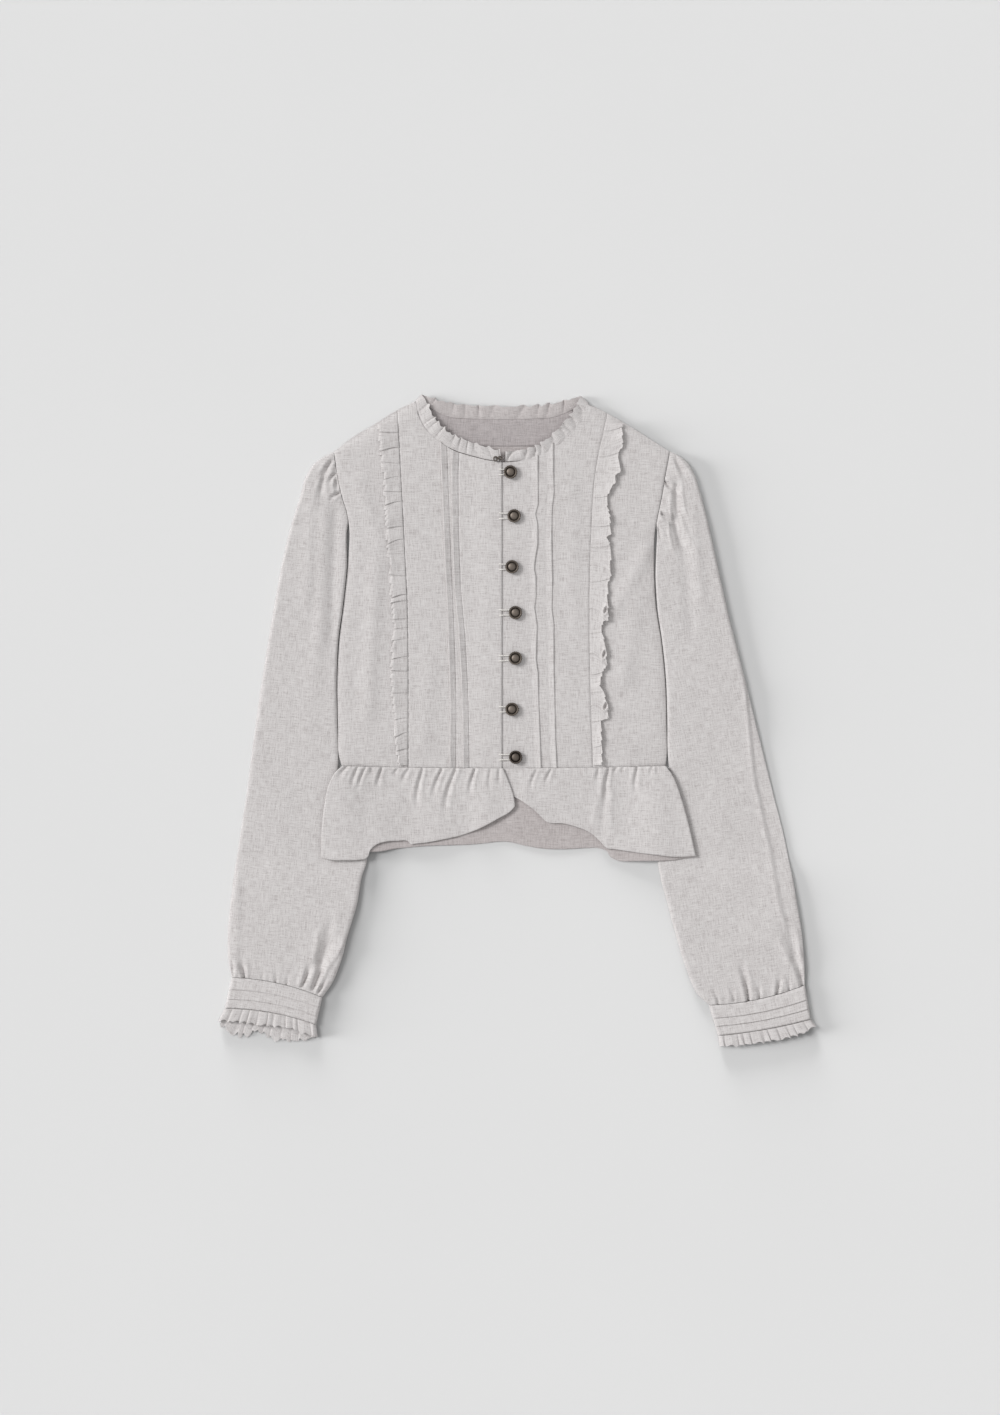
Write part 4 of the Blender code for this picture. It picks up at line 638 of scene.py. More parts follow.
def add_node(
    tree: bpy.types.NodeTree, kind: str, settings: dict[str, object] | None = None, **links: object
) -> bpy.types.Node:
    """Adds a node with its settings and links.

    Args:
        tree: The material's node tree.
        kind: The node's type without its ShaderNode prefix.
        settings: Properties of the node.
        links: Socket names or numbers, spaces as underscores; a socket links, a value is set.

    Returns:
        The new node.
    """
    node = tree.nodes.new(f"ShaderNode{kind}")
    for name, value in (settings or {}).items():
        setattr(node, name, value)
    for name, value in links.items():
        key = int(name[1:]) if name[0] == "i" and name[1:].isdigit() else name.replace("_", " ")
        if isinstance(value, bpy.types.NodeSocket):
            tree.links.new(value, node.inputs[key])
        else:
            node.inputs[key].default_value = value
    return node


def new_material(name: str) -> tuple[bpy.types.Material, bpy.types.NodeTree, bpy.types.Node]:
    """A material with only its output.

    Args:
        name: The material's name.

    Returns:
        The material, its node tree and its output node.
    """
    material = bpy.data.materials.new(name)
    material.use_nodes = True
    tree = material.node_tree
    tree.nodes.clear()
    return material, tree, add_node(tree, "OutputMaterial")


@dataclass(frozen=True)
class HeatherShirting:
    """Brushed plain-weave cotton flannel, yarn-dyed in two greys.

    The uneven yarns give the eye short darker and lighter flecks along and across, and a soft, matt bloom.
    """

    name: str = "heather_flannel"
    dark_yarn: str = "b1abaa"
    middle: str = "d1cdcc"
    light_yarn: str = "e1dedd"
    thread: float = 0.45  # mm between threads; the bump's weave is drawn at twice that to show
    slub: float = 0.9  # mm across a thick place; a real one is about 0.5 mm and would vanish at this distance
    slub_length: float = 12.0
    fleck: float = 1.15  # mm across a fleck of the heather
    fleck_share: float = 0.65  # how much it counts beside the slubs
    cloud: float = 34.0  # mm across the slow change of shade
    cloud_share: float = 0.12
    spread: float = 0.6526  # how far the sum of them all strays before the yarn's shades run out
    roughness: float = 0.92
    painted_shade_colour: str = "efecec"  # painted shade: what the colour is multiplied by on the stretch at the back of the neck
    fade: float = 5.0  # mm over which the painted shade starts and ends
    painted_shade_stretch: tuple[float, float] | None = None  # mm along the cut where its inner face shows at the back of the neck, darkened there as painted shade

    @staticmethod
    def streaks(
        tree: bpy.types.NodeTree, place: bpy.types.NodeSocket, across: float, along: float
    ) -> bpy.types.NodeSocket:
        """Noise that is stretched along one thread direction.

        Args:
            tree: The material's node tree.
            place: Cloth coordinates in mm.
            across: Size of a fleck in x.
            along: Size of a fleck in y.

        Returns:
            The noise's socket, from 0 to 1.
        """
        size = (1 / across, 1 / along, 1.0)
        scaled = add_node(tree, "VectorMath", {"operation": "MULTIPLY"}, i0=place, i1=size).outputs[0]
        noise = add_node(
            tree, "TexNoise", {"noise_dimensions": "2D"}, Vector=scaled, Scale=1.0, Detail=2.0, Roughness=0.55
        )
        return noise.outputs[0]

    def material(self) -> bpy.types.Material:
        """Makes the material from the piece's own cloth coordinates."""
        material, tree, output = new_material(self.name)
        cloth = add_node(tree, "UVMap", {"uv_map": "cloth"})
        place = add_node(tree, "VectorMath", {"operation": "SCALE"}, i0=cloth.outputs[0], Scale=1 / MM).outputs[0]
        warp = self.streaks(tree, place, self.slub, self.slub_length)
        weft = self.streaks(tree, place, self.slub_length, self.slub)
        fleck = self.streaks(tree, place, self.fleck, self.fleck)
        cloud = self.streaks(tree, place, self.cloud, self.cloud * 1.3)
        weigh = {"operation": "MULTIPLY_ADD"}
        both = add_node(tree, "Math", {"operation": "ADD"}, i0=warp, i1=weft).outputs[0]
        yarns = add_node(tree, "Math", weigh, i0=fleck, i1=self.fleck_share, i2=both).outputs[0]
        shade = add_node(tree, "Math", weigh, i0=cloud, i1=self.cloud_share, i2=yarns).outputs[0]
        middle = 1.0 + (self.fleck_share + self.cloud_share) / 2
        low, high = middle - self.spread, middle + self.spread
        centred = add_node(tree, "MapRange", {"clamp": False}, i0=shade, i1=low, i2=high).outputs[0]
        ramp = add_node(tree, "ValToRGB", Fac=centred)
        bands = ramp.color_ramp.elements
        bands[0].position, bands[1].position = 0.12, 0.92
        bands[0].color, bands[1].color = linear(self.dark_yarn), linear(self.light_yarn)
        bands.new(0.5).color = linear(self.middle)
        parts = add_node(tree, "SeparateXYZ", Vector=place).outputs
        colour = ramp.outputs[0]
        # Painted shade: the stretch of the ruffle at the back of the neck is darkened by multiplying its colour.
        if self.painted_shade_stretch:
            (start, end), fade = self.painted_shade_stretch, self.fade
            rise = add_node(tree, "MapRange", i0=parts[1], i1=start - fade, i2=start + fade).outputs[0]
            fall = add_node(tree, "MapRange", i0=parts[1], i1=end + fade, i2=end - fade).outputs[0]
            inner = add_node(tree, "Math", {"operation": "MULTIPLY"}, i0=rise, i1=fall).outputs[0]
            multiply = {"data_type": "RGBA", "blend_type": "MULTIPLY"}
            colour = add_node(tree, "Mix", multiply, i0=inner, i6=colour, i7=linear(self.painted_shade_colour)).outputs[2]
        turn = math.pi / (2 * self.thread)
        waves = [
            add_node(
                tree, "Math", {"operation": "SINE"},
                i0=add_node(tree, "Math", {"operation": "MULTIPLY"}, i0=parts[i], i1=turn).outputs[0],
            ).outputs[0]
            for i in (0, 1)
        ]  # fmt: skip
        weave = add_node(tree, "Math", {"operation": "MULTIPLY"}, i0=waves[0], i1=waves[1]).outputs[0]
        height = add_node(tree, "Math", weigh, i0=weave, i1=0.22, i2=yarns).outputs[0]
        bump = add_node(tree, "Bump", Strength=0.55, Distance=0.22 * MM, Height=height)
        low, high = self.roughness - 0.06, self.roughness + 0.05
        rough = add_node(tree, "MapRange", i0=fleck, i1=0.2, i2=0.8, i3=low, i4=high)
        shader = add_node(
            tree, "BsdfPrincipled", Base_Color=colour, Roughness=rough.outputs[0], Normal=bump.outputs[0],
            Sheen_Weight=0.12, Sheen_Roughness=0.6, Sheen_Tint=linear("efebe8"), IOR=1.45, Specular_IOR_Level=0.25,
        )  # fmt: skip
        tree.links.new(shader.outputs[0], output.inputs[0])
        return material


@dataclass(frozen=True)
class AntiqueBrass:
    """Cast brass, darkened in a bath and rubbed back, so its high places glint and its hollows stay brown."""

    name: str = "antiqued_cast_brass"
    worn: str = "8f857c"
    dark: str = "2c2624"
    grain: float = 1.4  # mm across a patch of the patina
    hollow: float = 8.0  # height above the table up to which it is dark, in mm
    crown: float = 10.8  # height from which it is worn

    def material(self) -> bpy.types.Material:
        """Makes the material; its wear grows with height on the piece."""
        material, tree, output = new_material(self.name)
        place = add_node(tree, "TexCoord").outputs["Object"]
        scale = 1 / (self.grain * MM)
        scaled = add_node(tree, "VectorMath", {"operation": "SCALE"}, i0=place, Scale=scale).outputs[0]
        patina = add_node(tree, "TexNoise", Vector=scaled, Scale=1.0, Detail=4.0, Roughness=0.6).outputs[0]
        high = add_node(tree, "SeparateXYZ", Vector=place).outputs[2]
        worn = add_node(tree, "MapRange", i0=high, i1=self.hollow * MM, i2=self.crown * MM).outputs[0]
        share = add_node(tree, "Math", {"operation": "MULTIPLY_ADD"}, i0=patina, i1=0.5, i2=-0.22).outputs[0]
        mixed = add_node(tree, "Math", {"operation": "ADD", "use_clamp": True}, i0=share, i1=worn).outputs[0]
        dark, light = linear(self.dark), linear(self.worn)
        colour = add_node(tree, "Mix", {"data_type": "RGBA"}, i0=mixed, i6=dark, i7=light)
        rough = add_node(tree, "MapRange", i0=patina, i1=0.2, i2=0.8, i3=0.42, i4=0.66).outputs[0]
        bump = add_node(tree, "Bump", Strength=0.4, Distance=0.0001, Height=patina)
        shader = add_node(
            tree, "BsdfPrincipled", Base_Color=colour.outputs[2], Metallic=1.0, Roughness=rough,
            Normal=bump.outputs[0],
        )  # fmt: skip
        tree.links.new(shader.outputs[0], output.inputs[0])
        return material


@dataclass(frozen=True)
class LoopThread:
    """Twisted polyester buttonhole thread: pale, with a faint gloss that breaks along its twist."""

    name: str = "twisted_polyester_thread"
    light: str = "fbf9f6"
    shade: str = "dcd7d0"
    twist: float = 1.3  # mm for one turn, drawn coarser than the real 0.6 mm so that it shows

    def material(self) -> bpy.types.Material:
        """Makes the material, with slanting bands for the twist."""
        material, tree, output = new_material(self.name)
        place = add_node(tree, "TexCoord").outputs["Object"]
        scale = 1 / (self.twist * MM)
        scaled = add_node(tree, "VectorMath", {"operation": "SCALE"}, i0=place, Scale=scale).outputs[0]
        bands = add_node(
            tree, "TexWave", {"bands_direction": "DIAGONAL"}, Vector=scaled, Scale=0.35, Distortion=1.5, Detail=2.0
        ).outputs[1]
        shade, light = linear(self.shade), linear(self.light)
        colour = add_node(tree, "Mix", {"data_type": "RGBA"}, i0=bands, i6=shade, i7=light)
        bump = add_node(tree, "Bump", Strength=0.5, Distance=0.0001, Height=bands)
        shader = add_node(
            tree, "BsdfPrincipled", Base_Color=colour.outputs[2], Roughness=0.55, Normal=bump.outputs[0],
            Sheen_Weight=0.2, IOR=1.5,
        )  # fmt: skip
        tree.links.new(shader.outputs[0], output.inputs[0])
        return material


@dataclass(frozen=True)
class PaperBackdrop:
    """Matt studio paper, which gives an even pale ground with no gloss."""

    name: str = "matt_studio_paper"
    colour: str = "b2b2b2"

    def material(self) -> bpy.types.Material:
        """Makes the material, with the paper's faint mottling."""
        material, tree, output = new_material(self.name)
        place = add_node(tree, "TexCoord").outputs["Object"]
        mottle = add_node(tree, "TexNoise", Vector=place, Scale=3.0, Detail=2.0).outputs[0]
        bright = add_node(tree, "MapRange", i0=mottle, i1=0.2, i2=0.8, i3=0.992, i4=1.008).outputs[0]
        multiply = {"data_type": "RGBA", "blend_type": "MULTIPLY"}
        colour = add_node(tree, "Mix", multiply, i0=1.0, i6=linear(self.colour), i7=bright)
        shader = add_node(
            tree, "BsdfPrincipled", Base_Color=colour.outputs[2], Roughness=0.95, Specular_IOR_Level=0.1
        )
        tree.links.new(shader.outputs[0], output.inputs[0])
        return material


def carry(piece: bpy.types.Object, slot: Slot, *nodes: str) -> None:
    """Rides a finished piece on the shirt in place of its CAD nodes.

    Args:
        piece: The finished piece.
        slot: The material slot that its finish comes from; not used.
        nodes: The CAD nodes that it stands for.
    """
    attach(piece, "root")
    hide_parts(*nodes)
    LOG.info("%s: %d faces", piece.name, len(piece.data.polygons))


@dataclass
class ClothPiece:
    """One cut piece of cloth, sewn from a grid of points as a thin shell."""

    name: str
    node: str
    cut: tuple[float, float]  # flat width and length in metres
    held: Held
    material: bpy.types.Material
    area: float | None = None  # flat area in square metres
    rests_on: list[str] = field(default_factory=list)
    slot: Slot = Slot.SHIRTING
    wall: float = 0.5  # thickness in mm

    def sew(self, points: np.ndarray, pattern: np.ndarray, ring: bool = False) -> bpy.types.Object:
        """Args:
            points: The upper or outer face by row and column, in garment millimetres.
            pattern: Cloth coordinates in mm for each point; a ring has one column more.
            ring: Whether the last column joins the first.

        Returns:
            The finished piece.
        """
        rows, columns = points.shape[:2]
        index = np.arange(rows * columns).reshape(rows, columns)
        if ring:
            index = np.hstack([index, index[:, :1]])
        corners = np.stack([index[:-1, :-1], index[:-1, 1:], index[1:, 1:], index[1:, :-1]], axis=2).reshape(-1, 4)
        cloth = np.stack([pattern[:-1, :-1], pattern[:-1, 1:], pattern[1:, 1:], pattern[1:, :-1]], axis=2)
        cloth = cloth.reshape(-1, 4, 2)
        flat = (points + WAIST_MIDDLE).reshape(-1, 3) * MM
        if self.faces_inward(flat, corners, ring):
            corners, cloth = corners[:, ::-1], cloth[:, ::-1]
        mesh = bpy.data.meshes.new(self.name)
        mesh.from_pydata(flat.tolist(), [], corners.tolist())
        layer = mesh.uv_layers.new(name="cloth")
        layer.data.foreach_set("uv", (cloth.reshape(-1) * MM).astype(np.float32))
        mesh.materials.append(self.material)
        mesh.shade_smooth()
        piece = bpy.data.objects.new(self.name, mesh)
        bpy.context.scene.collection.objects.link(piece)
        self.thicken(piece)
        carry(piece, self.slot, self.node)
        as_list(self.rests_on)
        return piece

    @staticmethod
    def faces_inward(points: np.ndarray, corners: np.ndarray, ring: bool) -> bool:
        """Whether the faces point down, or into the ring.

        Args:
            points: The corners' places.
            corners: Four point numbers for each face.
            ring: Whether the piece is a closed ring.

        Returns:
            True where the faces have to be turned round.
        """
        a, b, c = (points[corners[:, i]] for i in (0, 1, 2))
        normals = np.cross(b - a, c - a)
        if not ring:
            return bool(normals[:, 2].sum() < 0)
        middle = points[:, 2].mean()
        return bool((normals[:, 2] * (a[:, 2] - middle)).sum() < 0)

    def thicken(self, piece: bpy.types.Object) -> None:
        """Gives the sheet its wall, inwards from the face that shows."""
        solidify = piece.modifiers.new("wall", "SOLIDIFY")
        solidify.thickness = self.wall * MM
        solidify.offset = -1.0
        bpy.ops.object.select_all(action="DESELECT")
        bpy.context.view_layer.objects.active = piece
        piece.select_set(True)
        bpy.ops.object.modifier_apply(modifier="wall")
        piece.data.set_sharp_from_angle(angle=CRISP)


@dataclass
class Back(ClothPiece):
    """The back, flat on the table from the waist seam to the shoulders and the neck."""

    top: float = 0.85  # height of its upper face
    columns: int = 97
    rows: int = 96

    def build(self) -> bpy.types.Object:
        """Makes the back."""
        neck = Curve(BACK_NECK)

        def low(share: np.ndarray) -> np.ndarray:
            """The waist edge."""
            xs = RIGHT_SIDE[0][0] * (1 - share) + LEFT_SIDE[0][0] * share
            return np.column_stack([xs, SEAM / 2 + waist_y(xs)])

        def high(share: np.ndarray) -> np.ndarray:
            """Both shoulders with the neck between them."""
            right, left = SHOULDERS[Half.RIGHT].at(share / 0.25), SHOULDERS[Half.LEFT].at((share - 0.75) / 0.25)
            middle = neck.at((share - 0.25) / 0.5)
            column = share[:, None]
            return np.where(column < 0.25, right, np.where(column > 0.75, left, middle))

        def edge(half: Half, rows: Sequence[Row]) -> Line:
            """One side, from the waist to the shoulder's tip."""

            def line(share: np.ndarray) -> np.ndarray:
                """Points of the side."""
                ys = rows[0][1] + WAIST_BOW * (1 - share) + share * (rows[-1][1] - rows[0][1])
                return np.column_stack([SIDES[half].value(ys, 1, 0), ys])

            return line

        us, vs = np.linspace(0, 1, self.columns), np.linspace(0, 1, self.rows)
        plan = patch(low, high, edge(Half.RIGHT, RIGHT_SIDE), edge(Half.LEFT, LEFT_SIDE), us, vs)
        x, y = plan[..., 0], plan[..., 1]
        return self.sew(raised(plan, self.top + 0.4 * uneven(x, y)), plan[..., :2])


@dataclass
class NeckFacing(ClothPiece):
    """The facing that shows inside the neck, laid on the back and turned under at its lower edge."""

    base: float = 1.75
    over_seam: float = 1.6  # how far its upper edge reaches under the ruffle
    upper_half: float = 74.0
    lower_half: float = 72.0
    depth: float = 28.0
    stitch: float = 4.5  # from the turned edge to its stitches

    def build(self) -> bpy.types.Object:
        """Makes the facing."""
        top, edge = Curve(BACK_NECK), Curve(FACING_EDGE)

        def high(share: np.ndarray) -> np.ndarray:
            """The edge in the neck seam."""
            xs = self.upper_half * (2 * share - 1)
            return np.column_stack([xs, top.value(xs, 0, 1) + self.over_seam])

        def low(share: np.ndarray) -> np.ndarray:
            """The turned lower edge."""
            xs = self.lower_half * (2 * share - 1)
            return np.column_stack([xs, edge.value(xs, 0, 1)])

        def straight(end: float) -> Line:
            """A straight short end."""
            ends = low(np.array([end]))[0], high(np.array([end]))[0]
            return lambda share: np.outer(1 - share, ends[0]) + np.outer(share, ends[1])

        vs = np.concatenate([[0.0, 0.02, 0.05], np.linspace(0.09, 1.0, 20)])
        plan = patch(low, high, straight(0.0), straight(1.0), np.linspace(0, 1, 76), vs)
        x, y = plan[..., 0], plan[..., 1]
        height = self.base + 0.8 * uneven(x, y)
        height[0] -= 0.8
        height[1] -= 0.15
        height -= 0.5 * near((1 - vs)[:, None] * self.depth, 2.0)
        height -= 0.3 * near((vs * self.depth)[:, None] - self.stitch, 0.8)
        return self.sew(raised(plan, height), plan[..., :2])


@dataclass
class CentreFront(ClothPiece):
    """A centre panel, from its front edge to the seam that holds the frill, with two tucks."""

    half: Half = Half.RIGHT
    folds: tuple[float, float] = (47.0, 60.0)  # nominal distances of the tucks' fold edges from the front edge
    depth: float = 6.4  # from a tuck's stitches to its fold edge
    rise: float = 1.8  # how far the fold edge stands up
    stitch_dip: float = 0.4
    step: float = 1.9  # between columns on the plain cloth

    def columns(self, width: float) -> np.ndarray:
        """Places the columns, closest at the front edge, the tucks and the seam.

        Args:
            width: The panel's width at the waist.

        Returns:
            A row for each column: distance from the front edge, sideways slip, share of the rise, and drop.
        """
        rows = [(0.0, 0.0, 0.0, -0.95), (0.2, 0.0, 0.0, -0.45), (0.6, 0.0, 0.0, -0.12), (1.3, 0.0, 0.0, 0.0)]
        stretches = [3.0] + [v for f in self.folds for v in (f - self.depth - 1.6, f + 2.4)] + [width - 3.4]
        for first, last in zip(stretches[::2], stretches[1::2]):
            count = max(2, round((last - first) / self.step) + 1)
            rows += [(d, 0.0, 0.0, 0.0) for d in np.linspace(first, last, count)]
        for fold in self.folds:
            stitch = fold - self.depth
            rows += [(stitch - 0.7, 0, 0, 0), (stitch - 0.2, 0, -self.stitch_dip, 0), (stitch + 0.3, 0, 0.0, 0)]
            rows += [(stitch + 1.0, 0, 0.1, 0), (stitch + 2.2, 0, 0.28, 0), (stitch + 3.6, 0, 0.52, 0)]
            rows += [(fold - 1.4, 0, 0.84, 0), (fold - 0.6, 0, 1.0, 0), (fold - 0.15, 0, 0.95, 0)]
            rows += [(fold + 0.1, 0, 0.7, 0), (fold + 0.11, 0.0, 0.4, 0), (fold + 0.12, -0.45, 0.14, 0)]
            rows += [(fold + 0.13, -0.9, 0, 0), (fold + 0.8, 0, 0, 0), (fold + 1.5, 0, 0, 0)]
        rows += [(width - gap, 0.0, 0.0, 0.0) for gap in (2.4, 1.6, 1.0, 0.5, 0.0)]
        return np.array(sorted(rows, key=lambda row: row[0]))

    def build(self) -> bpy.types.Object:
        """Makes the panel."""
        sign = self.half.value
        front_edge = 0.0 if self.half is Half.RIGHT else -OVERLAP
        princess = PRINCESS[self.half]
        seam_low, seam_high = princess.rows[0], princess.rows[-1]
        width = abs(seam_low[0] - front_edge) - SEAM / 3
        stretch = abs(seam_high[0] - sign * SEAM / 3 - front_edge) / width
        neck_x = FRONT_NECK[0 if self.half is Half.RIGHT else -1][0]
        columns = self.columns(width)
        us, vs = columns[:, 0] / width, np.linspace(0, 1, 201)

        def low(share: np.ndarray) -> np.ndarray:
            """The waist edge."""
            xs = front_edge + sign * share * width
            return np.column_stack([xs, SEAM / 3 + waist_y(xs)])

        def high(share: np.ndarray) -> np.ndarray:
            """The neckline and the inner end of the shoulder."""
            xs = front_edge + sign * share * width * stretch
            outside = SHOULDERS[self.half].value(xs, 0, 1)
            on_shoulder = np.abs(xs) > abs(neck_x)
            return np.column_stack([xs, np.where(on_shoulder, outside, NECKLINE.value(xs, 0, 1))])

        def front(share: np.ndarray) -> np.ndarray:
            """The front edge."""
            return np.outer(1 - share, (front_edge, SEAM / 3)) + np.outer(share, high(np.array([0.0]))[0])

        def seam(share: np.ndarray) -> np.ndarray:
            """The seam that holds the frill."""
            ys = low(np.array([1.0]))[0, 1] * (1 - share) + share * high(np.array([1.0]))[0, 1]
            return np.column_stack([princess.value(ys, 1, 0) - sign * SEAM / 3, ys])

        plan = patch(low, high, front, seam, us, vs)
        self.place_folds(plan, columns, width)
        x, y = plan[..., 0], plan[..., 1]
        rise = self.rise * (0.9 + 0.2 * np.sin(y / 17.0 + 1.0) + 0.1 * np.sin(y / 6.1))
        height = front_lie(x, y) + columns[:, 2] * rise + columns[:, 3]
        height += seam_dip((width - columns[:, 0]) * np.ones_like(x), y)
        if self.half is Half.RIGHT:
            height += front_overlap(x)
        grid = raised(plan, height)
        grid[..., 0] += sign * columns[:, 1]
        return self.sew(grid, np.dstack([front_edge + sign * columns[:, 0] + 0 * x, y]))

    def place_folds(self, plan: np.ndarray, columns: np.ndarray, width: float) -> None:
        """Shifts the columns so that each tuck's edge follows its line.

        Args:
            plan: The panel's plan points, changed in place.
            columns: The panel's columns.
            width: The panel's width at the waist.
        """
        tables = RIGHT_TUCKS if self.half is Half.RIGHT else LEFT_TUCKS
        places = [int(np.argmin(np.abs(columns[:, 0] - fold))) for fold in self.folds]
        lines = [np.array(table) for table in tables]
        knots = [4.0] + [v for fold in self.folds for v in (fold - self.depth, fold)] + [width - 6]
        for row in plan:
            first, second = (
                np.interp(row[place, 1], line[:, 1], line[:, 0]) - row[place, 0]
                for place, line in zip(places, lines)
            )
            row[:, 0] += np.interp(columns[:, 0], knots, [0.0, first, first, second, second, 0.0])


@dataclass
class SideFront(ClothPiece):
    """A side panel, from the frill's seam to the armhole and side seam."""

    half: Half = Half.RIGHT
    armhole_foot: float = 235.0  # y above which the side is the armhole's seam

    def build(self) -> bpy.types.Object:
        """Makes the panel."""
        sign, rows = self.half.value, SIDES[self.half].rows
        princess, shoulder = PRINCESS[self.half], SHOULDERS[self.half]
        inner_low, inner_high = princess.rows[0], princess.rows[-1]
        edge = np.array([0.0, 0.006, 0.016, 0.035, 0.06])
        us = np.concatenate([edge, np.linspace(0.09, 0.95, 34), [0.968, 0.98, 0.99, 1.0]])
        vs = np.linspace(0, 1, 176)

        def low(share: np.ndarray) -> np.ndarray:
            """The waist edge, from the side seam inwards."""
            xs = (1 - share) * rows[0, 0] + share * (inner_low[0] + sign * SEAM / 3)
            return np.column_stack([xs, SEAM / 3 + waist_y(xs)])

        def high(share: np.ndarray) -> np.ndarray:
            """The shoulder, from its tip inwards."""
            xs = (1 - share) * rows[-1, 0] + share * (inner_high[0] + sign * SEAM / 3)
            return np.column_stack([xs, shoulder.value(xs, 0, 1)])

        def between(end: float, line: Curve, shift: float) -> Line:
            """An upright edge that follows a curve between the waist and the shoulder."""
            first, last = low(np.array([end]))[0, 1], high(np.array([end]))[0, 1]

            def points(share: np.ndarray) -> np.ndarray:
                """Points of the edge."""
                ys = (1 - share) * first + share * last
                return np.column_stack([line.value(ys, 1, 0) + shift, ys])

            return points

        side_edge, seam_edge = between(0.0, SIDES[self.half], 0.0), between(1.0, princess, sign * SEAM / 3)
        plan = patch(low, high, side_edge, seam_edge, us, vs)
        x, y = plan[..., 0], plan[..., 1]
        armhole = sign * (SIDES[self.half].value(y, 1, 0) - x)
        frill_gap = sign * (x - princess.value(y, 1, 0))
        height = front_lie(x, y) + seam_dip(frill_gap, y)
        height += seam_dip(armhole, y) * smooth((y - self.armhole_foot) / 20.0)
        height[:, 0] -= 0.5 * smooth((self.armhole_foot - y[:, 0]) / 20.0)
        return self.sew(raised(plan, height), plan[..., :2])


@dataclass
class FrontFrill(ClothPiece):
    """The gathered strip in a front seam, pleated over itself and lying on the side panel."""

    half: Half = Half.RIGHT
    widths: Sequence[Row] = ()
    pleats: Sequence[Row] = ()
    ends: tuple[float, float] = (2.2, 362.0)  # y of its ends
    step: float = 0.6  # between columns
    rise: float = 1.7  # how far a pleat's edge stands over the next pleat
    stand: float = 2.4  # how far the free edge stands off the panel
    notch: float = 3.0  # how deep the free edge is jagged
    tooth: float = 10.4  # about how far its notches are apart
    lip: float = -1.5  # how far the last of the free edge turns up; it rolls down where this is below 0
    curls: Sequence[float] = ()  # y of the places where the free edge rolls into a small loop
    rows_across: int = 13

    def columns(self) -> np.ndarray:
        """Places the columns along the strip, closest at each pleat's edge.

        Returns:
            A row for each column: y, slope, slip under the pleat, and share of the pleat's rise.
        """
        low, high = self.ends
        table = [(low, 0.0), *self.pleats, (high, 0.0)]
        rows: list[Row] = []
        for (first, slope), (last, next_slope) in zip(table, table[1:]):
            count = max(4, round((last - first - 1.6) / self.step))
            for place in np.linspace(first + 0.9, last - 0.7, count):
                share = (place - first) / (last - first)
                blend = slope + (next_slope - slope) * share
                rows.append((place, blend, 0.0, (1 - share) ** 0.75))
            if last < high:
                rows += [(last - 0.25, next_slope, 0.15, 0.0), (last, next_slope, 0.55, 0.04)]
                rows += [(last + 0.02, next_slope, 0.42, 0.4), (last + 0.04, next_slope, 0.0, 0.8)]
                rows += [(last + 0.35, next_slope, 0.0, 1.0)]
        return np.array(rows)

    def build(self) -> bpy.types.Object:
        """Makes the frill."""
        sign, princess, shoulder = self.half.value, PRINCESS[self.half], SHOULDERS[self.half]
        table = np.array(self.widths)
        columns = self.columns()
        place, slope, slip, rise = columns.T
        across = np.concatenate([[0.0, 0.03, 0.07], np.linspace(0.13, 0.97, self.rows_across), [1.0]])[:, None]
        width = np.interp(place, table[:, 0], table[:, 1])[None, :]
        beat = place / self.tooth + 0.6 * np.sin(place / 14.0) + 0.25 * np.sin(place / 5.3)
        width = width + self.notch * (0.5 - beat % 1.0)[None, :] * across**2
        y = place + slope * width * (across - 0.35) * across**0.5 + slip
        for curl in self.curls:
            width = width + 0.8 * near(place - curl, 6.5)[None, :] * across**2
        x = princess.value(place, 1, 0)[None, :] + sign * (0.25 + across * width)
        y = np.clip(y, 1.5, shoulder.value(x, 0, 1) - 0.8)
        size = self.rise * (0.8 + 0.35 * np.sin(place / 13.0))
        swing = 0.55 + 0.45 * np.sin(place / 5.2 + 2.0 * np.sin(place / 19.0))
        height = front_lie(x, y) + 0.35 + size * rise * (0.3 + 0.7 * across**0.6)
        height += self.stand * (0.45 + 0.55 * swing) * across**1.6
        height += self.lip * smooth((across - 0.86) / 0.14) - 0.25 * near(across * width, 0.9)
        height += 0.12 * np.sin(place / 1.1)[None, :] * near(across * width - 1.5, 3.0)
        for curl in self.curls:
            edge_x = float(np.interp(curl, place, x[-1]))
            height += self.rolled_edge(sign * (x - edge_x) + 2.6, y - curl)
        return self.sew(np.dstack([x, y, height]), np.dstack([across * width, place + 0 * across]))

    @staticmethod
    def rolled_edge(out: np.ndarray, up: np.ndarray) -> np.ndarray:
        """A small leaning loop of the free edge, open in its middle.

        Args:
            out: Distances outwards from the loop's middle.
            up: Distances upwards from it.

        Returns:
            Heights in mm.
        """
        ring = np.hypot((out - 0.3 * up) / 2.5, (up + 0.2 * out) / 5.2)
        return 1.8 * near(ring - 1.0, 0.36) - 3.0 * near(ring, 0.64)


